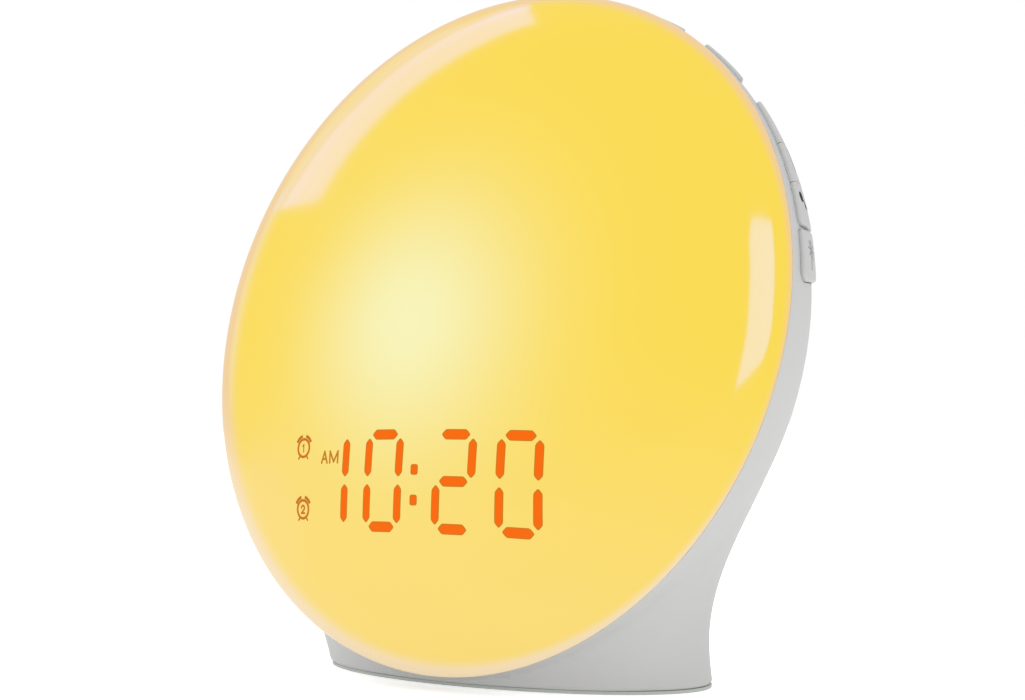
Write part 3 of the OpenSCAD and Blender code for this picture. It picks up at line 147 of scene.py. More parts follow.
def four_places(x: float, y: float) -> list[Matrix]:
    """Gives the moves to a place and to its mirror images across both axes."""
    return [moved(side * x, end * y) for side in (1, -1) for end in (1, -1)]


def place(piece: Piece, matrix: Matrix) -> Piece:
    """Moves a mesh by a matrix and leaves its object at the origin."""
    focus(piece)
    piece.matrix_world = matrix @ piece.matrix_world
    bpy.ops.object.transform_apply(location=True, rotation=True, scale=True)
    return piece


def outward(piece: Piece) -> None:
    """Merges doubled vertices and turns all faces outwards."""
    with editing(piece):
        bpy.ops.mesh.remove_doubles(threshold=MERGE_LIMIT)
        bpy.ops.mesh.normals_make_consistent(inside=False)


def smooth(piece: Piece, angle: float) -> None:
    """Shades a mesh smooth, with sharp edges over an angle in degrees."""
    focus(piece)
    bpy.ops.object.shade_smooth_by_angle(angle=math.radians(angle))


def reshape(piece: Piece, form: Form) -> None:
    """Carries every vertex to the place that a function gives for it.

    Args:
        piece: The mesh object.
        form: Takes and gives an array with one row of x, y and z for each vertex.
    """
    mesh = piece.data
    places = np.empty(len(mesh.vertices) * 3)
    mesh.vertices.foreach_get("co", places)
    mesh.vertices.foreach_set("co", form(places.reshape(-1, 3)).ravel())
    mesh.update()


def swept(name: str, outline: Sequence[Pair], steps: int, angle: float) -> Piece:
    """Turns an outline about the z axis.

    Args:
        name: The new object's name.
        outline: Radius and height of each point.
        steps: Number of steps around the axis.
        angle: How far it turns.

    Returns:
        The turned object, whose faces may point either way.
    """
    piece = started("plane", name, size=MM)
    with editing(piece):
        bpy.ops.mesh.merge(type="CENTER")
        bpy.ops.transform.translate(value=(outline[0][0], 0, outline[0][1]))
        for (r0, z0), (r1, z1) in zip(outline, outline[1:]):
            extruded(r1 - r0, 0, z1 - z0)
        bpy.ops.mesh.select_all(action="SELECT")
        bpy.ops.mesh.spin(steps=steps, angle=angle, center=(0, 0, 0), axis=(0, 0, 1))
        bpy.ops.mesh.select_all(action="SELECT")
        bpy.ops.mesh.remove_doubles(threshold=MERGE_LIMIT)
    return piece


def plate(size: Pair, corners: Pair, steps: int = 8, name: str = "plate") -> Piece:
    """Makes a flat rectangle around the origin with its own corner radius at each end.

    Args:
        size: Length along x and width along y.
        corners: Corner radius at the low end and at the high end of x.
        steps: Segments of each rounded corner.
        name: The new object's name.

    Returns:
        The flat object, facing up.
    """
    piece = started("plane", name, size=1)
    piece.scale = (size[0], size[1], 1)
    bpy.ops.object.transform_apply(location=False, rotation=False, scale=True)
    for radius, side in zip(corners, (-1, 1)):
        if radius > 0:
            pick(piece, lambda p, side=side: side * p.x > size[0] / 2 - MERGE_LIMIT)
            with editing(piece, whole=False):
                bpy.ops.mesh.bevel(offset=radius, segments=steps, affect="VERTICES")
    return piece


def raise_edge(radius: float, steps: int) -> None:
    """Insets and lifts the selected faces along a quarter circle, so their edge turns round."""
    turns = [math.pi / 2 * i / steps for i in range(steps + 1)]
    for low, high in zip(turns, turns[1:]):
        inward, up = math.cos(low) - math.cos(high), math.sin(high) - math.sin(low)
        bpy.ops.mesh.inset(thickness=radius * inward, depth=radius * up, use_even_offset=True)


def cut_across(piece: Piece, *pitches: float) -> None:
    """Cuts a mesh at even steps along x and then along y, so that it can follow a curve."""
    for axis, pitch in enumerate(pitches):
        reach = [v.co[axis] for v in piece.data.vertices]
        low, high = min(reach), max(reach)
        count = max(1, math.ceil((high - low) / pitch))
        normal = Vector([float(i == axis) for i in range(3)])
        with editing(piece):
            for step in range(1, count):
                bpy.ops.mesh.select_all(action="SELECT")
                bpy.ops.mesh.bisect(plane_co=normal * (low + (high - low) * step / count), plane_no=normal)


def cut_off(piece: Piece, at: Sequence[float], facing: Sequence[float]) -> None:
    """Cuts a closed mesh at a plane, drops what lies on the side that it faces and closes it."""
    with editing(piece):
        bpy.ops.mesh.bisect(plane_co=at, plane_no=facing, clear_outer=True, use_fill=True)


def thicken(piece: Piece, height: float) -> Piece:
    """Extrudes a flat mesh up by a height, closes it and gives it back."""
    with editing(piece, "FACE"):
        extruded(0, 0, height)
    outward(piece)
    return piece


def bar(radius: float, low: float, high: float, steps: int = 48) -> Piece:
    """Makes a closed round bar along z, as a tool for cutting."""
    middle = (0, 0, (low + high) / 2)
    piece = started("cylinder", "bar", radius=radius, depth=high - low, vertices=steps, location=middle)
    return place(piece, IN_PLACE)


def joined(pieces: Sequence[Piece], name: str) -> Piece:
    """Joins meshes into the first of them and names it."""
    focus(pieces[0])
    for piece in pieces:
        piece.select_set(True)
    bpy.ops.object.join()
    pieces[0].name = pieces[0].data.name = name
    return pieces[0]


def mirrored(piece: Piece, name: str) -> Piece:
    """Copies a mesh to the other side of the clock."""
    twin = piece.copy()
    twin.data = piece.data.copy()
    twin.name = twin.data.name = name
    bpy.context.collection.objects.link(twin)
    place(twin, Matrix.Scale(-1, 4, (1, 0, 0)))
    outward(twin)
    return twin


def stroke(start: Sequence[float], end: Sequence[float], thick: float, round_end: float = 0.4) -> Piece:
    """Makes a flat line between two places.

    Args:
        start: Where it starts.
        end: Where it ends.
        thick: Its width.
        round_end: Share of its width by which its corners are rounded.

    Returns:
        The flat line, which reaches half its width beyond its places.
    """
    way, middle = Vector(end) - Vector(start), (Vector(start) + Vector(end)) / 2
    piece = plate((way.length + thick, thick), (thick * round_end, thick * round_end), 3)
    return place(piece, moved(*middle) @ turned(math.degrees(math.atan2(way.y, way.x))))


# ---- the clock's forms ----


@dataclass(frozen=True)
class Dial:
    """Place and lean of the dial, and the outlines of its lens and of the bowl behind it."""

    radius: float = 85 * MM
    tilt: float = math.radians(14)
    gap: float = 2.5 * MM
    forward: float = 8 * MM
    crown: float = 13.5 * MM
    edge: float = 14.5 * MM
    power: float = 8
    bowl_depth: float = 51.4 * MM

    @property
    def height(self) -> float:
        """Height of the dial's middle over the table."""
        return self.radius * math.cos(self.tilt) + self.gap

    @property
    def matrix(self) -> Matrix:
        """Dial coordinates to the clock's."""
        return moved(0, -self.forward, self.height) @ Matrix.Rotation(math.pi / 2 - self.tilt, 4, "X")

    def rise(self, radius: np.ndarray | float, inset: float = 0) -> np.ndarray | float:
        """Height of the lens over the dial plane.

        Args:
            radius: Distance from the dial's axis.
            inset: How far inside the lens's outside the surface lies.

        Returns:
            The height, or heights for an array of distances.
        """
        share = np.minimum(1, np.asarray(radius) / (self.radius - inset))
        shallow = self.crown * (1 - share**2)
        return shallow + (self.edge - inset) * np.sqrt(np.maximum(0, 1 - share**self.power))

    def rim_radius(self, z: np.ndarray, off: np.ndarray) -> np.ndarray:
        """Distance from the dial's axis to a surface that lies off outside the bowl.

        Args:
            z: Heights over the dial plane, which are negative behind it.
            off: How far outside the bowl's skin, along the skin's own normal.

        Returns:
            The radius for each height.
        """
        back = -z
        for _ in range(4):
            turn = np.arcsin(np.clip(back / self.bowl_depth, -1, 1))
            along = np.cos(turn) / self.radius
            behind = np.sin(turn) / self.bowl_depth
            length = np.hypot(along, behind)
            back = -z - off * behind / length
        return self.radius * np.cos(turn) + off * along / length


@dataclass(frozen=True)
class CaseForm:
    """The case's outside: a tilted bowl that blends into an oval foot."""

    dial: Dial
    blend: float = 15 * MM
    blend_run: float = 14 * MM
    base: Pair = (112.2 * MM, 50 * MM)
    waist: Pair = (112.6 * MM, 49.2 * MM)
    shoulder: Pair = (117 * MM, 53.6 * MM)
    waist_forward: float = 1.5 * MM
    shoulder_back: float = 0.6 * MM
    waist_z: float = 11 * MM
    shoulder_z: float = 45 * MM
    foot_edge: float = 1.2 * MM
    pad: float = 0.8 * MM
    tiny: float = 1e-6
    halvings: int = 34

    def foot_size(self, low: float, waist: float, high: float, z: np.ndarray) -> np.ndarray:
        """A measure of the foot that runs from the table through the waist to the shoulder."""
        under = waist + (low - waist) * np.clip((self.waist_z - z) / self.waist_z, 0, None) ** 2
        rise = np.clip((z - self.waist_z) / (self.shoulder_z - self.waist_z), 0, 1)
        return np.where(z < self.waist_z, under, waist + (high - waist) * rise**2)

    def foot_middle(self, z: np.ndarray) -> np.ndarray:
        """Middle of the foot, front to back, at each height."""
        return self.foot_size(0, -self.waist_forward, self.shoulder_back, z)

    def foot_half(self, side: int, z: np.ndarray) -> np.ndarray:
        """Half the foot's width (side 0) or depth (side 1) at each height."""
        over = np.clip(z - self.shoulder_z, 0, None) / (self.dial.height - self.shoulder_z)
        close = np.sqrt(np.maximum(self.tiny, 1 - over**2))
        low = np.clip(self.pad + self.foot_edge - z, 0, None)
        round_off = self.foot_edge - np.sqrt(np.clip(self.foot_edge**2 - low**2, 0, None))
        size = self.foot_size(self.base[side], self.waist[side], self.shoulder[side], z)
        return size / 2 * close - np.where(low > 0, round_off, 0)

    @staticmethod
    def round_gap(over: Sequence[np.ndarray], over2: Sequence[np.ndarray]) -> np.ndarray:
        """Distance, near the surface, to an oval given a point over its radii and over their squares."""
        length = np.sqrt(sum(part**2 for part in over))
        return length * (length - 1) / np.maximum(np.sqrt(sum(part**2 for part in over2)), NEVER_ZERO)

    def gap(self, x: np.ndarray, y: np.ndarray, z: np.ndarray) -> np.ndarray:
        """Distance of points to the case's outside, negative inside it."""
        dial = self.dial
        across, along = math.sin(dial.tilt), math.cos(dial.tilt)
        dy, dz = y + dial.forward, z - dial.height
        up, out = dy * across + dz * along, dz * across - dy * along
        r, d = dial.radius, dial.bowl_depth
        bowl = self.round_gap((x / r, up / r, out / d), (x / r**2, up / r**2, out / d**2))
        a, b, fy = self.foot_half(0, z), self.foot_half(1, z), y - self.foot_middle(z)
        foot = self.round_gap((x / a, fy / b), (x / a**2, fy / b**2))
        share = np.clip(-out / self.blend_run, 0, 1)
        k = np.maximum(self.tiny, self.blend * share**2 * (3 - 2 * share))
        h = np.clip(0.5 + 0.5 * (foot - bowl) / k, 0, 1)
        return foot + (bowl - foot) * h - k * h * (1 - h)

    def middle(self, z: np.ndarray) -> np.ndarray:
        """Middle line of the case, foot below and bowl above."""
        dial = self.dial
        across, along = math.sin(dial.tilt), math.cos(dial.tilt)
        lean = across * along * (1 / dial.radius**2 - 1 / dial.bowl_depth**2)
        lean /= (across / dial.radius) ** 2 + (along / dial.bowl_depth) ** 2
        share = np.clip((z - self.shoulder_z * 2 / 3) / self.shoulder_z, 0, 1)
        share = share**2 * (3 - 2 * share)
        high = -dial.forward - (z - dial.height) * lean
        return self.foot_middle(z) * (1 - share) + high * share

    def ring(self, z: float, inset: float, sides: int) -> np.ndarray:
        """One level of the case's form.

        Args:
            z: The level's height.
            inset: How far inside the outside it lies.
            sides: Number of points around it.

        Returns:
            An array with one row for each point.
        """
        turns = np.arange(sides) * FULL_TURN / sides
        way = np.stack([self.dial.radius * np.cos(turns), self.dial.bowl_depth * np.sin(turns)])
        way /= np.hypot(*way)
        heights = np.full(sides, z)
        middle = self.middle(heights)
        near, beyond = np.zeros(sides), np.full(sides, 2 * self.dial.radius)
        for _ in range(self.halvings):
            reach = (near + beyond) / 2
            inside = self.gap(reach * way[0], middle + reach * way[1], heights) < -inset
            near, beyond = np.where(inside, reach, near), np.where(inside, beyond, reach)
        return np.stack([near * way[0], middle + near * way[1], heights], axis=1)

    def solid(self, name: str, inset: float, sides: int, levels: Sequence[float], top: float) -> Piece:
        """Lofts the form from a ring that is extruded level by level and closed by a pole.

        Args:
            name: The new object's name.
            inset: How far inside the outside it lies.
            sides: Number of points around each ring.
            levels: Heights of the rings.
            top: Height of the pole.

        Returns:
            The closed solid.
        """
        piece = started("circle", name, vertices=sides, radius=self.dial.radius, fill_type="NGON")
        with editing(piece, "FACE"):
            for _ in levels:
                extruded(0, 0, MM)
            bpy.ops.mesh.merge(type="CENTER")
        rings = np.stack([self.ring(z, inset, sides) for z in levels])
        pole = (0, float(self.middle(np.array([top]))[0]), top)

        def form(places: np.ndarray) -> np.ndarray:
            """Sets each vertex of the bar on its ring, or at the pole."""
            turn = np.round(np.arctan2(places[:, 1], places[:, 0]) / FULL_TURN * sides).astype(int) % sides
            level = np.round(places[:, 2] / MM).astype(int)
            shaped = rings[np.minimum(level, len(rings) - 1), turn]
            shaped[level >= len(rings)] = pole
            return shaped

        reshape(piece, form)
        outward(piece)
        return piece


# ---- finishes ----


class Cover(Enum):
    """How a finish's surface is made up."""

    MOULDED = "moulded"
    METAL = "metal"
    BOARD = "board"
    FOAM = "foam"


@dataclass(frozen=True)
class Texture:
    """Fine relief and slow tone changes of a surface."""

    grain: float = 2600
    relief: float = 0.03
    tone: float = 0.02
    blotch: float = 45
    gloss_change: float = 0.05


class NodeBench:
    """Adds nodes to a tree and links them with few words."""

    def __init__(self, tree: bpy.types.NodeTree) -> None:
        """Works on one node tree."""
        self.tree = tree

    def feed(self, node: Node, values: dict[int | str, object]) -> None:
        """Links each named input of a node to a socket, or sets it to a value."""
        for key, value in values.items():
            if isinstance(value, Socket):
                self.tree.links.new(value, node.inputs[key])
            else:
                node.inputs[key].default_value = value

    def add(self, kind: str, values: dict[int | str, object] | None = None, **settings: object) -> Node:
        """Adds a node, sets it up and feeds its inputs.

        Args:
            kind: The node's type.
            values: For each input, an output socket to link or a value to set.
            settings: The node's own settings.

        Returns:
            The new node.
        """
        node = self.tree.nodes.new("ShaderNode" + kind)
        for key, value in settings.items():
            setattr(node, key, value)
        self.feed(node, values or {})
        return node

    def math(self, operation: str, *values: object) -> Socket:
        """Adds a math node and returns its result."""
        return self.add("Math", dict(enumerate(values)), operation=operation).outputs[0]

    def mix(self, share: object, first: object, second: object) -> Socket:
        """Mixes two colours by a share and returns the result."""
        return self.add("Mix", {0: share, 6: first, 7: second}, data_type="RGBA").outputs[2]

    def noise(self, where: Socket, scale: object, detail: float = 2.0) -> Socket:
        """Adds a noise pattern and returns its value."""
        return self.add("TexNoise", {0: where, "Scale": scale, "Detail": detail}).outputs[0]

    def ramp(self, value: Socket, run: Pair, kind: str = "LINEAR") -> Socket:
        """Goes from zero to one while a value goes through a range, and stays so beyond it."""
        return self.add("MapRange", {0: value, 1: run[0], 2: run[1]}, interpolation_type=kind).outputs[0]


def new_material(name: str) -> tuple[Material, NodeBench, Node]:
    """Makes a node material.

    Args:
        name: The material's name.

    Returns:
        The material, its bench and its shader node.
    """
    made = bpy.data.materials.new(name)
    made.use_nodes = True
    return made, NodeBench(made.node_tree), made.node_tree.nodes["Principled BSDF"]


class SharedGroups:
    """Node groups that several finishes share, each built once."""

    def __init__(self) -> None:
        """Builds the groups."""
        self.surface = self.make_surface()
        self.tracks = self.make_tracks()

    @staticmethod
    def new_group(
        name: str, inputs: dict[str, str], outputs: dict[str, str]
    ) -> tuple[NodeBench, dict[str, Socket], Node]:
        """Makes an empty shader node group.

        Args:
            name: The group's name.
            inputs: Kind of each input by its name.
            outputs: Kind of each output by its name.

        Returns:
            The group's bench, the sockets of its inputs and its output node.
        """
        group = bpy.data.node_groups.new(name, "ShaderNodeTree")
        for way, sockets in (("INPUT", inputs), ("OUTPUT", outputs)):
            for label, kind in sockets.items():
                group.interface.new_socket(label, in_out=way, socket_type="NodeSocket" + kind)
        start = group.nodes.new("NodeGroupInput").outputs
        given = {label: start[label] for label in inputs}
        return NodeBench(group), given, group.nodes.new("NodeGroupOutput")

    def make_surface(self) -> bpy.types.NodeTree:
        """Builds the fine grain, slow tone changes and uneven gloss of a moulded surface."""
        numbers = dict.fromkeys(("Gloss", "Grain", "Tone", "Blotch", "Gloss Change"), "Float")
        inputs = {"Place": "Vector", "Colour": "Color", **numbers}
        outputs = {"Colour": "Color", "Roughness": "Float", "Height": "Float"}
        bench, given, made = self.new_group("surface", inputs, outputs)
        fine = bench.noise(given["Place"], given["Grain"], 3.0)
        slow = bench.math("SUBTRACT", bench.noise(given["Place"], given["Blotch"]), 0.5)
        tone = bench.math("MULTIPLY_ADD", slow, given["Tone"], 1.0)
        colour = bench.add("VectorMath", {0: given["Colour"], 3: tone}, operation="SCALE").outputs[0]
        uneven = bench.math("ADD", bench.math("SUBTRACT", fine, 0.5), slow)
        rough = bench.math("MULTIPLY_ADD", uneven, given["Gloss Change"], given["Gloss"])
        bench.feed(made, {"Colour": colour, "Roughness": rough, "Height": fine})
        return bench.tree

    def make_tracks(self) -> bpy.types.NodeTree:
        """Builds the copper tracks and pads under a circuit board's lacquer."""
        inputs = {"Place": "Vector", "Lacquer": "Color", "Track": "Color"}
        bench, given, made = self.new_group("tracks", inputs, {"Colour": "Color", "Height": "Float"})
        pattern = {0: given["Place"], "Scale": 140.0, "Mortar Size": 0.035, "Mortar Smooth": 0.2, "Bias": 0.0}
        bricks = bench.add("TexBrick", pattern, offset=0.35, squash=0.6)
        dots = bench.add("TexVoronoi", {0: given["Place"], "Scale": 210.0})
        pad = bench.math("LESS_THAN", dots.outputs["Distance"], 0.2)
        track = bench.math("MAXIMUM", bricks.outputs["Fac"], pad)
        bench.feed(made, {"Colour": bench.mix(track, given["Lacquer"], given["Track"]), "Height": track})
        return bench.tree


@dataclass(frozen=True)
class Finish:
    """One finish of the clock: its colour, gloss and fine texture."""

    name: str
    colour: Colour
    roughness: float
    cover: Cover = Cover.MOULDED
    texture: Texture = field(default_factory=Texture)
    specular: float = 0.5
    relief_depth: float = 0.1 * MM

    def material(self, shared: SharedGroups) -> Material:
        """Builds the node material around the shared groups."""
        made, bench, shader = new_material(self.name)
        made.diffuse_color = (*self.colour, 1)
        where = bench.add("TexCoord").outputs["Object"]
        texture = self.texture
        wanted = {
            "Place": where, "Colour": (*self.colour, 1), "Gloss": self.roughness, "Grain": texture.grain,
            "Tone": texture.tone, "Blotch": texture.blotch, "Gloss Change": texture.gloss_change,
        }
        skin = bench.add("Group", wanted, node_tree=shared.surface)
        height = skin.outputs["Height"]
        if self.cover is Cover.BOARD:
            track = (*(min(1, c * 1.7 + 0.02) for c in self.colour), 1)
            wanted = {"Place": where, "Lacquer": (*self.colour, 1), "Track": track}
            under = bench.add("Group", wanted, node_tree=shared.tracks)
            bench.feed(skin, {"Colour": under.outputs["Colour"]})
            height = under.outputs["Height"]
        if self.cover is Cover.FOAM:
            height = bench.add("TexVoronoi", {0: where, "Scale": texture.grain}).outputs["Distance"]
        relief = {"Strength": texture.relief, "Distance": self.relief_depth, "Height": height}
        bench.feed(shader, {
            "Base Color": skin.outputs["Colour"],
            "Roughness": skin.outputs["Roughness"],
            "Normal": bench.add("Bump", relief).outputs[0],
            "Specular IOR Level": self.specular,
            "Metallic": 1.0 if self.cover is Cover.METAL else 0.0,
        })
        return made


@dataclass(frozen=True)
class LitFinish:
    """A finish that glows from behind and is glossy in front."""

    name: str
    colour: Colour
    under: Colour
    coat: float
    roughness: float = 0.12
    speckle: float = 0.01

    def start(self) -> tuple[Material, NodeBench, Node, Socket]:
        """Makes the material with its gloss, ready for the glow's colour.

        Returns:
            The material, its bench, its shader node and the socket of object coordinates.
        """
        made, bench, shader = new_material(self.name)
        made.diffuse_color = (*self.colour, 1)
        bench.feed(shader, {
            "Roughness": 0.5,
            "Specular IOR Level": 0.0,
            "Coat Weight": self.coat,
            "Coat Roughness": self.roughness,
            "Emission Strength": 1.0,
        })
        return made, bench, shader, bench.add("TexCoord").outputs["Object"]

    def grained(self, bench: NodeBench, share: Socket, colour: Colour, darker: float) -> Socket:
        """Mixes a colour with a darker one of itself by a share."""
        return bench.mix(share, (*colour, 1), (*(c * darker for c in colour), 1))

    def material(self) -> Material:
        """Builds the material of an evenly lit mark with a slight unevenness."""
        made, bench, shader, where = self.start()
        noise = bench.noise(where, 400.0)
        glow = self.grained(bench, bench.math("MULTIPLY", noise, self.speckle * 4), self.colour, 0.8)
        under = self.grained(bench, noise, self.under, 0.9)
        bench.feed(shader, {"Emission Color": glow, "Base Color": under})
        return made


@dataclass(frozen=True)
class LensFinish(LitFinish):
    """The yellow lens: an even glow with a pale spot, a paler foot, and painted reflection and shade in peach
    and tan along its turned-away edge, which follows the view angle.
    """

    dial: Dial = field(default_factory=Dial)
    spot: Colour = (0.865, 0.843, 0.463)
    spot_place: Pair = (0.9 * MM, -6.9 * MM)
    spot_size: float = 30.8 * MM
    pale: Colour = (0.893, 0.658, 0.165)
    pale_run: Pair = (-5 * MM, -85 * MM)
    patch_place: Pair = (-48.0 * MM, -48.8 * MM)
    patch_size: float = 15 * MM
    patch_share: float = 0.75
    # The next colours and shares paint reflection and shade at the lens's edge. A pale peach goes below and
    # in a band on the left, and a tan goes elsewhere. Where it shows depends on how far the surface turns
    # from the view.
    rim: Colour = (0.86, 0.68, 0.44)
    painted_edge_tan: Colour = (0.83, 0.56, 0.27)
    painted_edge_start: tuple[float, ...] = (0.388, 0.133, -0.104, 0.096, -0.073)
    painted_edge_fade: Pair = (-0.07, 0.12)
    painted_edge_left: Pair = (0.55, 0.75)
    left_lean: float = 0.5
    painted_edge_band: Pair = (0.02, 0.09)
    painted_edge_low: Pair = (-0.2, -0.6)
    light_share: float = 0.12
    unevenness: float = 60.0

    def dial_place(self, bench: NodeBench, where: Socket) -> tuple[Socket, Socket]:
        """Finds the place on the dial, across and up."""
        dial = self.dial
        stand = {"Vector": where, "Location": (0, -dial.forward, dial.height)}
        stand["Rotation"] = (math.pi / 2 - dial.tilt, 0, 0)
        flat = bench.add("Mapping", stand, vector_type="TEXTURE").outputs[0]
        parts = bench.add("SeparateXYZ", {0: flat}).outputs
        return parts[0], parts[1]

    def soft_spot(self, bench: NodeBench, u: Socket, v: Socket, at: Pair, size: float) -> Socket:
        """Gives a share that is one at a place on the dial and fades out around it."""
        du, dv = bench.math("SUBTRACT", u, at[0]), bench.math("SUBTRACT", v, at[1])
        square = bench.math("MULTIPLY_ADD", dv, dv, bench.math("MULTIPLY", du, du))
        return bench.math("EXPONENT", bench.math("DIVIDE", square, -(size**2)))

    def painted_edge_turn(self, bench: NodeBench, across: Socket, up: Socket) -> Socket:
        """Finds how much further the surface turns from the view than where the painted edge reflection and
        shade start.
        """
        base, by_u, by_v, by_uu, by_uv = self.painted_edge_start
        total = bench.math("MULTIPLY_ADD", across, by_u, base)
        total = bench.math("MULTIPLY_ADD", up, by_v, total)
        total = bench.math("MULTIPLY_ADD", bench.math("MULTIPLY", across, across), by_uu, total)
        total = bench.math("MULTIPLY_ADD", bench.math("MULTIPLY", across, up), by_uv, total)
        away = bench.add("LayerWeight", {"Blend": 0.5}).outputs["Facing"]
        return bench.math("SUBTRACT", total, bench.math("SUBTRACT", 1.0, away))

    def material(self) -> Material:
        """Builds the lens's material from distances in dial coordinates."""
        made, bench, shader, where = self.start()
        made.cycles.emission_sampling = "NONE"
        u, v = self.dial_place(bench, where)
        glow = self.soft_spot(bench, u, v, self.spot_place, self.spot_size)
        patch = self.soft_spot(bench, u, v, self.patch_place, self.patch_size)
        foot = bench.ramp(v, self.pale_run, "SMOOTHSTEP")
        foot = bench.math("MULTIPLY_ADD", patch, self.patch_share, foot)
        noise = bench.noise(where, self.unevenness)
        uneven = bench.math("MULTIPLY", bench.math("SUBTRACT", noise, 0.5), self.speckle)
        colour = bench.mix(foot, (*self.colour, 1), (*self.pale, 1))
        colour = bench.mix(bench.math("ADD", glow, uneven), colour, (*self.spot, 1))
        across, up = (bench.math("DIVIDE", part, self.dial.radius) for part in (u, v))
        # Painted reflection and shade at the edge: as the surface turns from the view, the glow gives way to
        # the peach and tan tones.
        beyond = self.painted_edge_turn(bench, across, up)
        lower = bench.ramp(up, self.painted_edge_low)
        corner = bench.math("MULTIPLY_ADD", up, self.left_lean, bench.math("MULTIPLY", across, -1.0))
        left = bench.ramp(corner, self.painted_edge_left)
        line = bench.math("MULTIPLY", left, bench.math("SUBTRACT", 1.0, bench.ramp(beyond, self.painted_edge_band)))
        tone = bench.mix(bench.math("MAXIMUM", lower, line), (*self.painted_edge_tan, 1), (*self.rim, 1))
        colour = bench.mix(bench.ramp(beyond, self.painted_edge_fade, "SMOOTHSTEP"), colour, tone)
        bounced = bench.add("LightPath").outputs["Is Diffuse Ray"]
        bench.feed(shader, {
            "Emission Strength": bench.math("MULTIPLY_ADD", bounced, self.light_share - 1, 1.0),
            "Emission Color": colour,
            "Base Color": self.grained(bench, noise, self.under, 0.96),
        })
        return made


class Palette:
    """All finishes of the clock, built on first use and given to its pieces."""

    def __init__(self, dial: Dial) -> None:
        """Lists the finishes.

        Args:
            dial: The dial, whose place the lens's glow follows.
        """
        self.shared = SharedGroups()
        self.made: dict[str, Material] = {}
        shell = Texture(grain=3000, relief=0.05, tone=0.015, blotch=30, gloss_change=0.06)
        metal = Texture(grain=2200, relief=0.02, tone=0.06, blotch=220, gloss_change=0.12)
        board = Texture(grain=1500, relief=0.25, tone=0.08, blotch=90)
        pad = Texture(grain=1800, relief=0.25, tone=0.05)
        cone = Texture(grain=1500, relief=0.3, tone=0.1)
        ferrite = Texture(grain=1800, relief=0.2, tone=0.2)
        foam = Texture(grain=1600, relief=0.8)
        finishes = [
            Finish("case_grey", (0.505, 0.505, 0.502), 0.5, texture=shell),
            Finish("key_grey", (0.49, 0.49, 0.488), 0.48, texture=shell),
            Finish("white_plastic", (0.8, 0.8, 0.78), 0.42),
            Finish("lamp_white", (0.86, 0.82, 0.62), 0.25),
            Finish("board_white", (0.82, 0.83, 0.8), 0.4, Cover.BOARD, board),
            Finish("board_green", (0.012, 0.115, 0.05), 0.34, Cover.BOARD, board),
            Finish("black_plastic", (0.016, 0.016, 0.018), 0.45),
            Finish("capacitor_blue", (0.02, 0.05, 0.14), 0.3),
            Finish("ribbon_grey", (0.55, 0.55, 0.5), 0.4),
            Finish("zinc_steel", (0.6, 0.61, 0.62), 0.3, Cover.METAL, metal),
            Finish("ferrite_black", (0.03, 0.03, 0.032), 0.7, texture=ferrite),
            Finish("cone_black", (0.02, 0.02, 0.021), 0.85, texture=cone),
            Finish("foam_black", (0.025, 0.025, 0.027), 0.95, Cover.FOAM, foam),
            Finish("pad_grey", (0.47, 0.495, 0.465), 0.8, texture=pad),
            Finish("wire_red", (0.42, 0.02, 0.015), 0.4),
            Finish("wire_white", (0.75, 0.75, 0.72), 0.4),
            Finish("wire_black", (0.02, 0.02, 0.02), 0.4),
            Finish("mark_black", (0.008, 0.008, 0.009), 0.6, specular=0.1),
            Finish("mark_grey", (0.25, 0.25, 0.255), 0.5),
        ]
        lit = [
            LensFinish("lens_yellow", (0.893, 0.648, 0.056), (0.06, 0.05, 0.02), 0.4, dial=dial),
            LitFinish("digit_orange", (0.91, 0.135, 0.0), (0.04, 0.012, 0.002), 0.12),
            LitFinish("edge_orange", (0.62, 0.17, 0.008), (0.04, 0.015, 0.003), 0.12),
            LitFinish("symbol_orange", (0.55, 0.15, 0.012), (0.04, 0.015, 0.003), 0.2),
            LitFinish("letter_orange", (0.53, 0.2, 0.008), (0.04, 0.015, 0.003), 0.2),
        ]
        self.plain = {finish.name: finish for finish in finishes}
        self.lit = {finish.name: finish for finish in lit}

    def material(self, name: str) -> Material:
        """Gives a finish's material, and builds it the first time."""
        if name not in self.made:
            lit = self.lit.get(name)
            self.made[name] = lit.material() if lit else self.plain[name].material(self.shared)
        return self.made[name]

    def dress(self, piece: Piece, name: str) -> None:
        """Gives a whole piece one finish."""
        piece.data.materials.clear()
        piece.data.materials.append(self.material(name))


def add_piece(piece: Piece, body: str, stands_for: Sequence[str] = ()) -> None:
    """Hands a finished piece over to the frame.

    Args:
        piece: The piece, with its place in its mesh.
        body: The body that it moves with.
        stands_for: The nodes that it is shown instead of.
    """
    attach(piece, body)
    if stands_for:
        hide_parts(*stands_for)
    LOG.info("%s: %d faces, rides on %s", piece.name, len(piece.data.polygons), body)


# ---- sub-assemblies ----


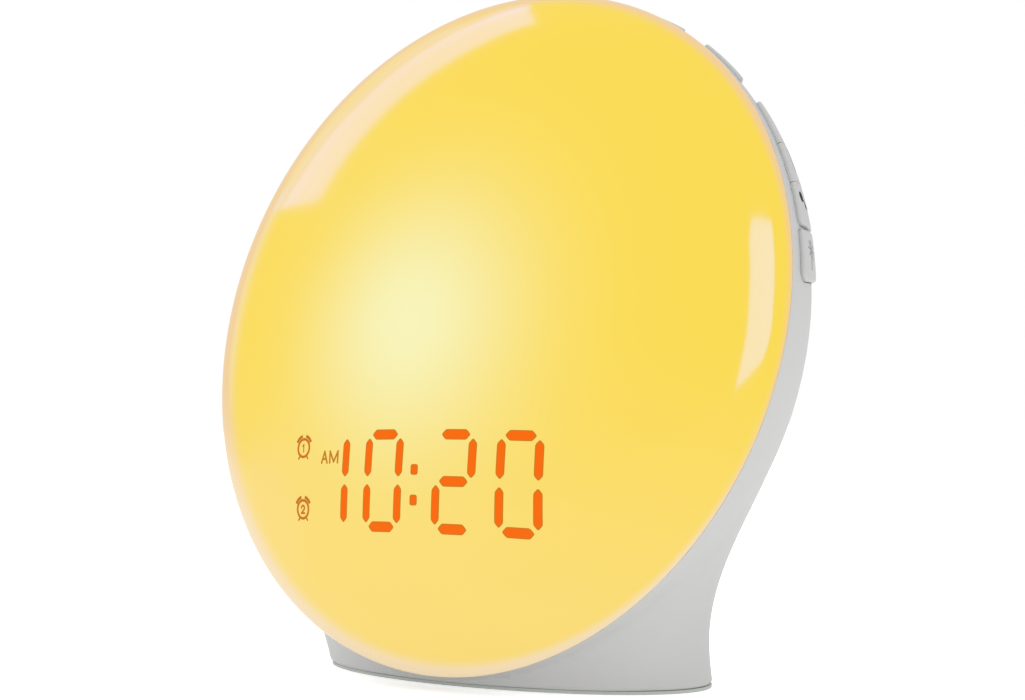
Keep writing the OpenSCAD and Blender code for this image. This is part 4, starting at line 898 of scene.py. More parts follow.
@dataclass
class Lens:
    """The yellow lens with its crown, its rounded edge and the ring that drops into the case."""

    dial: Dial
    wall: float = 2.2 * MM
    spigot_radius: float = 82.3 * MM
    spigot_inner: float = 80.45 * MM
    spigot_depth: float = 2.5 * MM
    edge_break: float = 0.12 * MM
    corner_room: float = 0.3 * MM
    cap_share: float = 0.7
    cap_steps: int = 34
    rim_steps: int = 40
    sides: int = 192
    crease: float = 40

    def shares(self) -> list[float]:
        """Shares of the radius at which the outline has its points, close together at the rim."""
        start = math.acos(self.cap_share ** (self.dial.power / 2))
        cap = [self.cap_share * i / self.cap_steps for i in range(self.cap_steps)]
        turns = [start * (1 - i / self.rim_steps) for i in range(self.rim_steps + 1)]
        return cap + [math.cos(turn) ** (2 / self.dial.power) for turn in turns]

    def skin(self, inset: float) -> list[Pair]:
        """Section of the surface that lies inset under the outside, from the pole to the rim."""
        radius = self.dial.radius - inset
        return [(t * radius, float(self.dial.rise(t * radius, inset))) for t in self.shares()]

    def outline(self) -> list[Pair]:
        """Outline of the lens's section, from the pole outside round to the pole inside."""
        dial, ring, ring_inner = self.dial, self.spigot_radius, self.spigot_inner
        outer = [p for p in self.skin(0)[:-1] if p[1] > 2 * self.edge_break]
        edge = [(dial.radius, self.edge_break), (dial.radius - self.edge_break, 0)]
        spigot = [(ring, 0), (ring, -self.spigot_depth), (ring_inner, -self.spigot_depth)]
        top = (ring_inner, float(dial.rise(ring_inner, self.wall)))
        inner = [p for p in self.skin(self.wall) if p[0] < ring_inner - self.corner_room]
        return outer + edge + spigot + [top] + inner[::-1]

    def build(self, palette: Palette) -> None:
        """Builds and dresses the lens."""
        piece = swept("lens_dome", self.outline(), self.sides, FULL_TURN)
        outward(piece)
        place(piece, self.dial.matrix)
        smooth(piece, self.crease)
        palette.dress(piece, "lens_yellow")
        add_piece(piece, "clock", ["front_lens"])


@dataclass(frozen=True)
class KeySpec:
    """One key of the rim: its node, its place and its ends.

    Angles are in degrees about the dial's axis. The key slides along its own angle, and its face
    reaches from low to high halfway back. A key of a row is a slice of the whole row. Its ends
    lean by slant, which grows by fan for each metre along the rim.
    """

    node: str
    angle: float
    low: float
    high: float
    corners: Pair
    slant: float = 0
    twin: str = ""
    row: Pair | None = None
    fan: float = 0

    def is_slice(self, end: float) -> bool:
        """Tells whether one of its ends is a cut through its row."""
        return self.row is not None and end not in self.row


@dataclass
class RimKeys:
    """The snooze bar and the ten keys around the rim, and the slots that they stand in."""

    dial: Dial
    proud: float = 1 * MM
    front: float = 3.8 * MM
    width: float = 13.2 * MM
    gap: float = 0.09 * MM
    row_gap: float = 0.15 * MM
    depth: float = 4.1 * MM
    flange: float = 1.2 * MM
    flange_lip: float = 0.9 * MM
    flange_corner: float = 0.3 * MM
    flange_pitch: float = 3 * MM
    edge_round: float = 0.6 * MM
    edge_steps: int = 5
    pitch: float = 2.2 * MM
    crease: float = 36
    plunger_back: float = 10.8 * MM
    plunger_width: float = 3 * MM
    plunger_corner: float = 0.3 * MM
    plunger_root: float = -3.5 * MM
    plunger_tip: float = 73.7 * MM
    snooze_tip: float = 71.9 * MM
    snooze_switch: float = 20 * MM
    snooze_half: float = 29.5
    snooze_fan: float = -15.0
    end_corners: Pair = (0.6 * MM, 0.6 * MM)
    light_corners: Pair = (3.0 * MM, 0.6 * MM)
    row_corners: Pair = (1.9 * MM, 0.5 * MM)
    row_ends: Pair = (14.97, 39.0)
    row_slants: tuple[float, ...] = (0.463, 0.39, 0.317)
    row_fan: float = 6.5
    row_pitch: float = 7.4977
    row_angle: float = 26.25
    LENGTH_UP = Matrix(((0, 0, 1, 0), (1, 0, 0, 0), (0, 1, 0, 0), (0, 0, 0, 1)))

    @property
    def top_radius(self) -> float:
        """Distance from the dial's axis to the keys' outer face at the dial plane."""
        return self.dial.radius + self.proud

    def arc(self, degrees: float) -> float:
        """Length along the keys' outer face of an angle in degrees."""
        return math.radians(degrees) * self.top_radius

    def specs(self) -> list[KeySpec]:
        """The five keys of the right side, each with its twin on the left."""
        row, fan, ends, lean = self.row_ends, self.row_fan, self.row_corners, self.row_slants
        slim = math.degrees(self.row_gap / 2 / self.top_radius)
        low, high = self.row_angle - self.row_pitch / 2, self.row_angle + self.row_pitch / 2
        up, mid, down = (self.row_angle + side * self.row_pitch for side in (1, 0, -1))
        return [
            KeySpec("radio_key", 49.2, 45.1, 52.5, self.end_corners, 0.332, "brightness_key", fan=-68.0),
            KeySpec("volume_up_key", up, high + slim, row[1], ends, lean[0], "hour_key", row, fan),
            KeySpec("volume_down_key", mid, low + slim, high - slim, ends, lean[1], "minute_key", row, fan),
            KeySpec("sound_key", down, row[0], low - slim, ends, lean[2], "alarm_one_key", row, fan),
            KeySpec("light_key", 9.3, 6.2, 14.45, self.light_corners, 0.33, "alarm_two_key"),
        ]

    def snooze(self) -> KeySpec:
        """The bar on top."""
        low, high = 90 - self.snooze_half, 90 + self.snooze_half
        return KeySpec("snooze_bar", 90, low, high, self.end_corners, fan=self.snooze_fan)

    def wrap(self, places: np.ndarray) -> np.ndarray:
        """Bends a flat piece round the bowl.

        Args:
            places: Length along the rim, height over the dial plane and rise over the bowl's skin.

        Returns:
            Places in dial coordinates for a piece at the dial's x axis.
        """
        along, z, off = places.T
        radius, turn = self.dial.rim_radius(z, off), along / self.top_radius
        return np.stack([radius * np.cos(turn), radius * np.sin(turn), z], axis=1)

    def middle(self) -> float:
        """Height of the keys' middle over the dial plane."""
        return -(self.front + self.width / 2)

    @staticmethod
    def lean(piece: Piece, spec: KeySpec) -> None:
        """Leans a flat piece's ends, further along the rim the further back."""

        def form(places: np.ndarray) -> np.ndarray:
            """Shifts each vertex along the rim."""
            places[:, 0] -= (spec.slant + spec.fan * places[:, 0]) * places[:, 1]
            return places

        reshape(piece, form)

    def bend(self, piece: Piece, spec: KeySpec) -> Piece:
        """Leans a flat piece, sets it at the keys' middle and bends it round the bowl."""
        self.lean(piece, spec)
        place(piece, moved(0, self.middle(), -self.depth))
        reshape(piece, self.wrap)
        return piece

    def body(self, spec: KeySpec) -> Piece:
        """Makes the part of a key that stands in its slot, with a rounded outer edge.

        Args:
            spec: The key.

        Returns:
            The closed body, bent round the bowl.
        """
        low, high = (self.arc(angle - spec.angle) for angle in spec.row or (spec.low, spec.high))
        piece = plate((high - low, self.width), spec.corners, name=spec.node + "_cap")
        with editing(piece, "FACE"):
            extruded(0, 0, self.depth + self.proud - self.edge_round)
            raise_edge(self.edge_round, self.edge_steps)
        outward(piece)
        place(piece, moved((low + high) / 2))
        for end, side in ((spec.low, -1), (spec.high, 1)):
            if spec.is_slice(end):
                cut_off(piece, (self.arc(end - spec.angle), 0, 0), (side, 0, 0))
        cut_across(piece, self.pitch, self.pitch)
        self.bend(piece, spec)
        outward(piece)
        return piece

    def flange_plate(self, spec: KeySpec) -> Piece:
        """Makes the flange that keeps a key in, bent round the bowl."""
        low, high = self.arc(spec.low - spec.angle), self.arc(spec.high - spec.angle)
        size = (high - low, self.width + 2 * self.flange_lip)
        piece = thicken(plate(size, (self.flange_corner, self.flange_corner), 3), self.flange)
        place(piece, moved((low + high) / 2))
        cut_across(piece, self.pitch, self.flange_pitch)
        return self.bend(piece, spec)

    def plunger(self, tip: float, across: float) -> Piece:
        """Makes the plunger that reaches from a key to its switch."""
        root = self.dial.rim_radius(np.array([-self.plunger_back]), np.array([self.plunger_root]))
        inner = math.sqrt(float(root[0]) ** 2 - across**2)
        side, corner = self.plunger_width, self.plunger_corner
        piece = thicken(plate((side, side), (corner, corner), 3), inner - tip)
        return place(piece, moved(tip, across, -self.plunger_back) @ turned(90, "Y"))

    def key(self, spec: KeySpec, plungers: Sequence[Pair]) -> Piece:
        """Makes a whole key in the clock's coordinates.

        Args:
            spec: The key.
            plungers: Tip radius and sideways place of each plunger.

        Returns:
            The closed key.
        """
        piece = self.body(spec)
        combine(piece, self.flange_plate(spec), "UNION")
        for tip, across in plungers:
            combine(piece, self.plunger(tip, across), "UNION")
        return place(piece, self.dial.matrix @ turned(spec.angle))

    def slot(self, spec: KeySpec, reach: float) -> Piece:
        """Makes the cutter for one key's slot, in the clock's coordinates."""
        ends, gap = (spec.low, spec.high), self.gap
        low, high = (math.sin(math.radians(end - spec.angle)) * self.top_radius for end in ends)
        corners = [0.0 if spec.is_slice(end) else c + gap for end, c in zip(ends, spec.corners)]
        piece = thicken(plate((high - low + 2 * gap, self.width + 2 * gap), corners), 3 * reach)
        place(piece, moved((low + high) / 2))
        self.lean(piece, spec)
        move = moved(self.dial.radius - reach, 0, self.middle())
        place(piece, self.dial.matrix @ turned(spec.angle) @ move @ self.LENGTH_UP)
        outward(piece)
        return piece

    def slots(self) -> Iterator[Piece]:
        """Makes the cutters for all slots, one after another."""
        for spec in self.specs():
            piece = self.slot(spec, 3 * self.depth)
            yield mirrored(piece, "twin_slot")
            yield piece
        yield self.slot(self.snooze(), 5 * self.depth)

    def build(self, palette: Palette) -> None:
        """Builds and dresses the bar and all keys."""
        tips = [(self.snooze_tip, side * self.snooze_switch) for side in (-1, 1)]
        self.finish(self.key(self.snooze(), tips), "snooze_bar", palette)
        for spec in self.specs():
            piece = self.key(spec, [(self.plunger_tip, 0)])
            twin = mirrored(piece, spec.twin + "_cap")
            self.finish(piece, spec.node, palette)
            self.finish(twin, spec.twin, palette)

    def finish(self, piece: Piece, node: str, palette: Palette) -> None:
        """Shades and dresses one key and hands it over."""
        outward(piece)
        smooth(piece, self.crease)
        palette.dress(piece, "key_grey")
        add_piece(piece, node + "_body", [node])


@dataclass
class KeyMarks:
    """Small printed marks on three of the keys.

    A place on a key is an angle in degrees and a distance back in millimetres.
    """

    keys: RimKeys
    lift: float = 0.03 * MM
    sunk: float = 0.03 * MM
    pitch: float = 1 * MM
    oval_share: float = 0.499
    note_head: Pair = (19.2, 7.0)
    note_head_size: Pair = (2.4 * MM, 2.6 * MM)
    note_head_turn: float = 38.2
    note_stem: tuple[Pair, Pair] = ((19.0, 8.6), (18.7, 10.6))
    note_stem_thick: float = 0.5 * MM
    note_flag: Pair = (18.5, 10.4)
    note_flag_size: Pair = (1.1 * MM, 2.2 * MM)
    sun: Pair = (10.9, 9.3)
    sun_size: float = 1.6 * MM
    sun_rays: int = 8
    ray_ends: Pair = (1.25 * MM, 2.25 * MM)
    ray_thick: float = 0.42 * MM
    sun_line: tuple[Pair, Pair] = ((7.9, 9.2), (9.1, 9.2))
    sun_line_thick: float = 0.45 * MM
    minus: tuple[Pair, Pair] = ((24.7, 9.0), (28.5, 9.0))
    minus_thick: float = 0.7 * MM

    def dot(self, centre: Pair, size: Pair, angle: float = 0) -> Piece:
        """Makes a flat oval."""
        corner = min(size) * self.oval_share
        return place(plate(size, (corner, corner)), moved(*centre) @ turned(angle))

    def flat_place(self, spec: KeySpec, at: Pair) -> Pair:
        """Turns a place on a key into one on the flat key."""
        return self.keys.arc(at[0] - spec.angle), -at[1] * MM - self.keys.middle()

    def line(self, spec: KeySpec, ends: tuple[Pair, Pair], thick: float) -> Piece:
        """Makes a flat line between two places on a key."""
        return stroke(self.flat_place(spec, ends[0]), self.flat_place(spec, ends[1]), thick)

    def print_on(self, name: str, finish: str, parts: list[Piece], spec: KeySpec, palette: Palette) -> None:
        """Makes one mark of flat parts, lays it on its key and hands it over to ride on it.

        Args:
            name: The new object's name.
            finish: The finish that it takes.
            parts: Flat parts around the key's middle.
            spec: The key that carries the mark.
            palette: The clock's finishes.
        """
        for part in parts:
            thicken(part, self.lift + self.sunk)
        piece = joined(parts, name)
        cut_across(piece, self.pitch, self.pitch)
        place(piece, moved(0, self.keys.middle(), self.keys.proud - self.sunk))
        reshape(piece, self.keys.wrap)
        place(piece, self.keys.dial.matrix @ turned(spec.angle))
        palette.dress(piece, finish)
        add_piece(piece, spec.node + "_body")

    def build(self, palette: Palette) -> None:
        """Builds the marks of the sound key, the light key and the volume key."""
        specs = {spec.node: spec for spec in self.keys.specs()}
        spec = specs["sound_key"]
        note = [
            self.dot(self.flat_place(spec, self.note_head), self.note_head_size, self.note_head_turn),
            self.line(spec, self.note_stem, self.note_stem_thick),
            self.dot(self.flat_place(spec, self.note_flag), self.note_flag_size),
        ]
        self.print_on("sound_mark", "mark_black", note, spec, palette)
        spec = specs["light_key"]
        sun = self.flat_place(spec, self.sun)
        parts = [self.dot(sun, (self.sun_size, self.sun_size))]
        for i in range(self.sun_rays):
            turn = i * FULL_TURN / self.sun_rays
            way = Vector((math.cos(turn), math.sin(turn)))
            parts.append(stroke(*(Vector(sun) + way * end for end in self.ray_ends), self.ray_thick))
        parts.append(self.line(spec, self.sun_line, self.sun_line_thick))
        self.print_on("light_mark", "mark_grey", parts, spec, palette)
        spec = specs["volume_down_key"]
        minus = [self.line(spec, self.minus, self.minus_thick)]
        self.print_on("volume_mark", "mark_grey", minus, spec, palette)


@dataclass
class Case:
    """The grey case with its slots, screw wells, sound holes and socket recess."""

    form: CaseForm
    keys: RimKeys
    wall: float = 2.4 * MM
    sides: int = 160
    levels: int = 76
    inner_sides: int = 96
    inner_levels: int = 40
    crease: float = 28
    foot_turns: tuple[float, ...] = (0, 22, 45, 67, 90)
    lower_low: float = 3 * MM
    lower_share: float = 0.55
    upper_from: float = -16
    rim_bore: float = 3.1 * MM
    screw_place: Pair = (46 * MM, 34 * MM)
    post_radius: float = 4.9 * MM
    well_radius: float = 3.3 * MM
    hole_radius: float = 1.65 * MM
    post_back: float = 16.2 * MM
    seat_back: float = 22 * MM
    speaker_back: float = 42 * MM
    speaker_radius: float = 20.9 * MM
    speaker_wall: float = 4 * MM
    speaker_screw: float = 23.7 * MM
    speaker_turns: tuple[float, ...] = (30, 150, 270)
    speaker_post: float = 2.6 * MM
    speaker_top: float = 40 * MM
    hole: float = 1.2 * MM
    hole_pitch: float = 4.2 * MM
    hole_rings: int = 3
    jack_height: float = 22 * MM
    jack_seat: float = 20 * MM
    jack_panel: float = 3 * MM
    recess_radius: float = 6.5 * MM
    recess_wall: float = 2.5 * MM
    barrel_hole: float = 4.1 * MM
    post_place: Pair = (41.5 * MM, 6.5 * MM)
    base_post_radius: float = 2.6 * MM
    base_post_low: float = 3 * MM
    base_post_high: float = 16 * MM
    screw_hole: float = 1 * MM
    screw_top: float = 8 * MM

    def level_heights(self, inset: float, count: int) -> tuple[list[float], float]:
        """Heights of the form's rings and of its pole."""
        dial, pad, edge = self.form.dial, self.form.pad, self.form.foot_edge
        top = math.hypot(dial.radius * math.cos(dial.tilt), dial.bowl_depth * math.sin(dial.tilt)) - inset

        def over(degrees: float) -> float:
            """Height of the bowl at an angle seen from its middle."""
            return dial.height + top * math.sin(math.radians(degrees))

        levels = [-MM] if inset else [pad + edge * (1 - math.cos(math.radians(a))) for a in self.foot_turns]
        lower = round(count * self.lower_share)
        start, end = self.lower_low, over(self.upper_from)
        levels += [start + (end - start) * i / lower for i in range(lower + 1)]
        upper = count - lower + 1
        levels += [over(self.upper_from + (90 - self.upper_from) * i / upper) for i in range(1, upper)]
        return levels, dial.height + top

    def fixings(self) -> Iterator[tuple[Matrix, Matrix]]:
        """Gives the places of the case's screws, each with that of one of the base plate's."""
        wells = (self.form.dial.matrix @ move for move in four_places(*self.screw_place))
        return zip(wells, four_places(*self.post_place))

    def on_speaker(self, angle: float, radius: float) -> Matrix:
        """Gives a place around the speaker's middle."""
        return self.form.dial.matrix @ turned(angle) @ moved(radius)

    def jack_way(self) -> Matrix:
        """Turns the z axis to the power socket's axis, which runs to the back."""
        return moved(0, 0, self.jack_height) @ turned(-90, "X")

    def room(self) -> Piece:
        """Makes the hollow of the case, with the posts and seats left standing in it."""
        levels, top = self.level_heights(self.wall, self.inner_levels)
        hollow = self.form.solid("hollow", self.wall, self.inner_sides, levels, top)
        far = 2 * self.form.dial.radius
        for well, foot in self.fixings():
            combine(hollow, place(bar(self.post_radius, -far, -self.post_back), well))
            combine(hollow, place(bar(self.base_post_radius, self.base_post_low, self.base_post_high), foot))
        seat = bar(self.speaker_radius, -far, -self.speaker_back, 96)
        combine(seat, bar(self.speaker_radius - self.speaker_wall, -2 * far, 0, 96))
        combine(hollow, place(seat, self.form.dial.matrix))
        for angle in self.speaker_turns:
            post = bar(self.speaker_post, -far, -self.speaker_top)
            combine(hollow, place(post, self.on_speaker(angle, self.speaker_screw)))
        cup = bar(self.recess_radius + self.recess_wall, self.jack_seat - self.jack_panel, far, 64)
        combine(hollow, place(cup, self.jack_way()))
        return hollow

    def tools(self) -> Iterator[Piece]:
        """Makes everything that is cut out of the wall, one tool after another."""
        dial, far = self.form.dial, 2 * self.form.dial.radius
        yield from self.keys.slots()
        yield place(bar(dial.radius - self.wall, -self.rim_bore, self.rim_bore, 192), dial.matrix)
        for well, foot in self.fixings():
            yield place(bar(self.well_radius, -far, -self.seat_back), well)
            yield place(bar(self.hole_radius, -self.seat_back - MM, -self.post_back + MM, 32), well)
            yield place(bar(self.screw_hole, 0, self.screw_top, 24), foot)
        holes = [(0.0, 0.0)]
        for ring in range(1, self.hole_rings + 1):
            holes += [(60 * j / ring, ring * self.hole_pitch) for j in range(6 * ring)]
        for angle, radius in holes:
            hole = bar(self.hole, -dial.bowl_depth - MM, -self.speaker_back, 24)
            yield place(hole, self.on_speaker(angle, radius))
        yield place(bar(self.recess_radius, self.jack_seat, far, 64), self.jack_way())
        yield place(bar(self.barrel_hole, 0, far), self.jack_way())

    def build(self, palette: Palette) -> None:
        """Builds and dresses the case."""
        levels, top = self.level_heights(0, self.levels)
        shell, dial = self.form.solid("case_shell", 0, self.sides, levels, top), self.form.dial
        cut_off(shell, (0, -dial.forward, dial.height), (0, -math.cos(dial.tilt), math.sin(dial.tilt)))
        outward(shell)
        combine(shell, self.room())
        for tool in self.tools():
            combine(shell, tool)
        smooth(shell, self.crease)
        palette.dress(shell, "case_grey")
        add_piece(shell, "clock", ["rear_shell"])


@dataclass
class FootPad:
    """The soft pad under the foot, with openings for the battery door and the screws."""

    form: CaseForm
    inset: float = 0.3 * MM
    edge: float = 0.15 * MM
    edge_over: float = 60
    sides: int = 192
    crease: float = 30
    door: Pair = (40 * MM, 28 * MM)
    door_corner: float = 3 * MM
    screw_place: Pair = (41.5 * MM, 6.5 * MM)
    screw_hole: float = 3 * MM

    def build(self, palette: Palette) -> None:
        """Builds and dresses the pad."""
        pad, sheet = self.form.pad, {"radius": 1, "vertices": self.sides}
        piece = started("cylinder", "foot_pad_sheet", depth=pad, location=(0, 0, pad / 2), **sheet)
        piece.scale = (*(size / 2 - self.inset for size in self.form.base), 1)
        place(piece, IN_PLACE)
        edge = {"limit_method": "ANGLE", "angle_limit": math.radians(self.edge_over)}
        modify(piece, "BEVEL", width=self.edge, segments=2, **edge)
        opening = place(plate(self.door, (self.door_corner, self.door_corner)), moved(0, 0, -MM))
        combine(piece, thicken(opening, 3 * MM))
        for move in four_places(*self.screw_place):
            combine(piece, place(bar(self.screw_hole, -MM, 2 * MM), move))
        smooth(piece, self.crease)
        palette.dress(piece, "pad_grey")
        add_piece(piece, "clock", ["foot_pad"])


@dataclass
class LitDisplay:
    """The lit time, colon, symbols and letters, which show through the lens."""

    dial: Dial
    centre: Pair = (-2 * MM, -43.6 * MM)
    shown: str = "1020"
    digit_places: tuple[float, ...] = (-18.1 * MM, -1.0 * MM, 19.8 * MM, 36.9 * MM)
    digit_half: float = 4.8 * MM
    digit_rise: float = 10.4 * MM
    upright: Pair = (8.92 * MM, 2.25 * MM)
    level: Pair = (8.05 * MM, 2.35 * MM)
    point_share: float = 0.4999
    merge_share: float = 0.01
    less_along: float = 1.4
    corner: float = 0.4 * MM
    lean: float = 0.018
    colon: Pair = (2.12 * MM, 2.4 * MM)
    colon_corner: float = 0.55 * MM
    colon_place: Pair = (8.55 * MM, -0.9 * MM)
    colon_rise: float = 3.4 * MM
    outline: float = 0.27 * MM
    above: float = 0.04 * MM
    below: float = 0.3 * MM
    pitch: float = 1.6 * MM
    crease: float = 30
    letter_widths: Pair = (2.42 * MM, 3.25 * MM)
    letter_rise: float = 2.6 * MM
    letter_thick: float = 0.5 * MM
    letter_round: float = 0.3
    letter_places: tuple[Pair, Pair] = ((-22.75 * MM, -38.15 * MM), (-19.47 * MM, -38.15 * MM))
    alarm_ring: Pair = (1.8 * MM, 2.4 * MM)
    alarm_bells: Pair = (2.52 * MM, 3.25 * MM)
    bell_turns: tuple[Pair, Pair] = ((28, 77), (103, 152))
    foot_start: Pair = (1.3 * MM, -2.0 * MM)
    foot_end: Pair = (1.72 * MM, -2.5 * MM)
    foot_thick: float = 0.42 * MM

    ALARMS = {"1": (-30.7 * MM, -35.8 * MM), "2": (-30.2 * MM, -50.2 * MM)}
    NUMBERS = {"1": ((0.95 * MM, 1.75 * MM), 0.32 * MM), "2": ((1.2 * MM, 1.75 * MM), 0.44 * MM)}
    SEGMENTS = {"1": "bc", "0": "abcdef", "2": "abdeg"}
    SEGMENT_PLACES = {
        "a": (0, 1), "b": (1, 0.5), "c": (1, -0.5), "d": (0, -1), "e": (-1, -0.5), "f": (-1, 0.5),
        "g": (0, 0),
    }
    LETTERS = {
        "A": [[(-0.5, -0.5), (0, 0.5), (0.5, -0.5)], [(-0.3, -0.16), (0.3, -0.16)]],
        "M": [[(-0.5, -0.5), (-0.5, 0.5), (0, -0.42), (0.5, 0.5), (0.5, -0.5)]],
        "1": [[(0, -0.5), (0, 0.5), (-0.42, 0.24)]],
        "2": [[
            (-0.5, 0.22), (-0.3, 0.45), (0, 0.5), (0.34, 0.42), (0.5, 0.2), (0.32, -0.04), (-0.5, -0.5),
            (0.5, -0.5),
        ]],
    }

    @property
    def height(self) -> float:
        """How thick all that is lit is."""
        return self.above + self.below

    def hexagon(self, length: float, thick: float) -> Piece:
        """Makes one segment's flat outline with pointed ends and slightly rounded corners."""
        piece = plate((length, thick), (0, 0))
        with editing(piece):
            bpy.ops.mesh.bevel(offset=thick * self.point_share, segments=1, affect="VERTICES")
            bpy.ops.mesh.select_all(action="SELECT")
            bpy.ops.mesh.remove_doubles(threshold=thick * self.merge_share)
            bpy.ops.mesh.bevel(offset=self.corner, segments=4, affect="VERTICES")
        return piece

    def segment(self, letter: str, less: float) -> Piece:
        """Makes the flat segment of one letter, a to g, around the digit's middle, smaller by less."""
        side, row = self.SEGMENT_PLACES[letter]
        length, thick = self.upright if side else self.level
        piece = self.hexagon(length - less * self.less_along, thick - less)
        return place(piece, moved(side * self.digit_half, row * self.digit_rise) @ turned(90 if side else 0))

    def lay(self, piece: Piece, name: str, finish: str, palette: Palette) -> None:
        """Lays a closed flat piece in dial coordinates on the lens and hands it over.

        Args:
            piece: The piece, standing on the dial plane.
            name: The finished piece's name.
            finish: The finish that it takes.
            palette: The clock's finishes.
        """
        cut_across(piece, self.pitch, self.pitch)

        def drape(places: np.ndarray) -> np.ndarray:
            """Lifts each vertex by the lens's height at its place."""
            radius = np.hypot(places[:, 0], places[:, 1])
            places[:, 2] = self.dial.rise(radius) + places[:, 2] - self.below
            return places

        reshape(piece, drape)
        place(piece, self.dial.matrix)
        smooth(piece, self.crease)
        piece.name = piece.data.name = name
        palette.dress(piece, finish)
        add_piece(piece, "clock")

    def letter(self, text: str, size: Pair, middle: Pair, thick: float) -> Piece:
        """Makes one thin letter or number, closed and as thick as all that is lit.

        Args:
            text: The letter or number.
            size: Its width and height between the middles of its strokes.
            middle: Place of its middle.
            thick: Width of its strokes.

        Returns:
            The closed letter.
        """
        lines = []
        for run in self.LETTERS[text]:
            spots = [(middle[0] + x * size[0], middle[1] + y * size[1]) for x, y in run]
            for ends in zip(spots, spots[1:]):
                lines.append(thicken(stroke(*ends, thick, self.letter_round), self.height))
        for line in lines[1:]:
            combine(lines[0], line, "UNION")
        return lines[0]

    def sector(self, radii: Pair, angles: Pair, steps: int = 12) -> Piece:
        """Makes a closed piece of a flat ring.

        Args:
            radii: Its inner and outer radius.
            angles: Its first and last angle in degrees.
            steps: Number of steps between them.

        Returns:
            The closed piece, as thick as all that is lit.
        """
        turn = math.radians(angles[1] - angles[0])
        piece = swept("sector", [(radius, 0) for radius in radii], steps, -turn)
        return thicken(place(piece, turned(angles[0])), self.height)

    def alarm(self, number: str) -> Piece:
        """Makes an alarm clock around a number, closed and as thick as all that is lit."""
        bells = [self.sector(self.alarm_bells, turns) for turns in self.bell_turns]
        piece = joined([self.sector(self.alarm_ring, (0, 360), 40), *bells], "alarm")
        for side in (-1, 1):
            ends = [(side * x, y) for x, y in (self.foot_start, self.foot_end)]
            combine(piece, thicken(stroke(*ends, self.foot_thick), self.height), "UNION")
        size, thick = self.NUMBERS[number]
        whole = joined([piece, self.letter(number, size, (0, 0), thick)], "alarm")
        return place(whole, moved(*self.ALARMS[number]))

    def numbers(self, less: float) -> Piece:
        """Makes the flat segments of all four digits, leaning a little, smaller by less."""
        digits = []
        for text, x in zip(self.shown, self.digit_places):
            parts = [self.segment(letter, less) for letter in self.SEGMENTS[text]]
            digits.append(place(joined(parts, "digit"), moved(x)))
        whole = joined(digits, "digits")
        shear = np.array([[1, self.lean, 0], [0, 1, 0], [0, 0, 1]])
        reshape(whole, lambda places: places @ shear.T)
        return whole

    def dots(self, less: float, height: float) -> Piece:
        """Makes the colon's two dots, smaller by less."""
        dots, (across, up) = [], self.colon_place
        for side in (-1, 1):
            dot = plate([size - less for size in self.colon], (self.colon_corner, self.colon_corner), 4)
            dots.append(place(thicken(dot, height), moved(across, up + side * self.colon_rise)))
        return joined(dots, "colon")

    def build(self, palette: Palette) -> None:
        """Builds and dresses everything that is lit."""
        to_centre = moved(*self.centre)
        less, extra = 2 * self.outline, self.above / 2
        layers = (("edges", 0, "edge_orange", 0), ("digits", less, "digit_orange", extra))
        for name, less, finish, extra in layers:
            height = self.height + extra
            whole = place(thicken(self.numbers(less), height), to_centre)
            self.lay(whole, "lit_" + name, finish, palette)
            self.lay(place(self.dots(less, height), to_centre), "lit_colon_" + name, finish, palette)
        letters = []
        for text, width, middle in zip("AM", self.letter_widths, self.letter_places):
            size = (width - self.letter_thick, self.letter_rise)
            letters.append(self.letter(text, size, middle, self.letter_thick))
        self.lay(joined(letters, "letters"), "lit_letters", "letter_orange", palette)
        symbols = [self.alarm(number) for number in self.ALARMS]
        self.lay(joined(symbols, "symbols"), "lit_symbols", "symbol_orange", palette)


class InnerParts:
    """The frame's own nodes that keep their shape and take a finish."""

    FINISHES = {
        "white_plastic": ["reflector", "display_housing", "board_sockets"],
        "digit_orange": ["segment_guides", "symbol_guides"],
        "board_white": ["light_board"],
        "lamp_white": ["white_leds", "colour_leds", "display_leds"],
        "board_green": ["display_board", "main_board", "key_board"],
        "black_plastic": ["light_header", "board_chips", "key_switches", "battery_holder", "power_jack"],
        "capacitor_blue": ["board_capacitors"],
        "ribbon_grey": ["display_ribbon"],
        "zinc_steel": [
            "light_board_screws", "display_screws", "main_board_screws", "key_board_screws", "case_screws",
            "speaker_screws", "base_screws", "battery_door_screw", "speaker_frame", "coin_cell",
            "power_jack_nut", "battery_contacts",
        ],
        "ferrite_black": ["speaker_magnet"],
        "cone_black": ["speaker_cone"],
        "foam_black": ["speaker_gasket"],
        "case_grey": ["base_plate", "battery_door"],
        "wire_red": ["speaker_leads", "battery_leads"],
        "wire_white": ["key_leads"],
        "wire_black": ["power_leads"],
    }

    def build(self, palette: Palette) -> None:
        """Dresses every node that stays."""
        for finish, names in self.FINISHES.items():
            for name in names:
                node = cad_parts[name]
                if not node.material_slots:
                    node.data.materials.append(palette.material(finish))
                for slot in node.material_slots:
                    slot.material = palette.material(finish)
                LOG.info("%s: kept, finished in %s", name, finish)


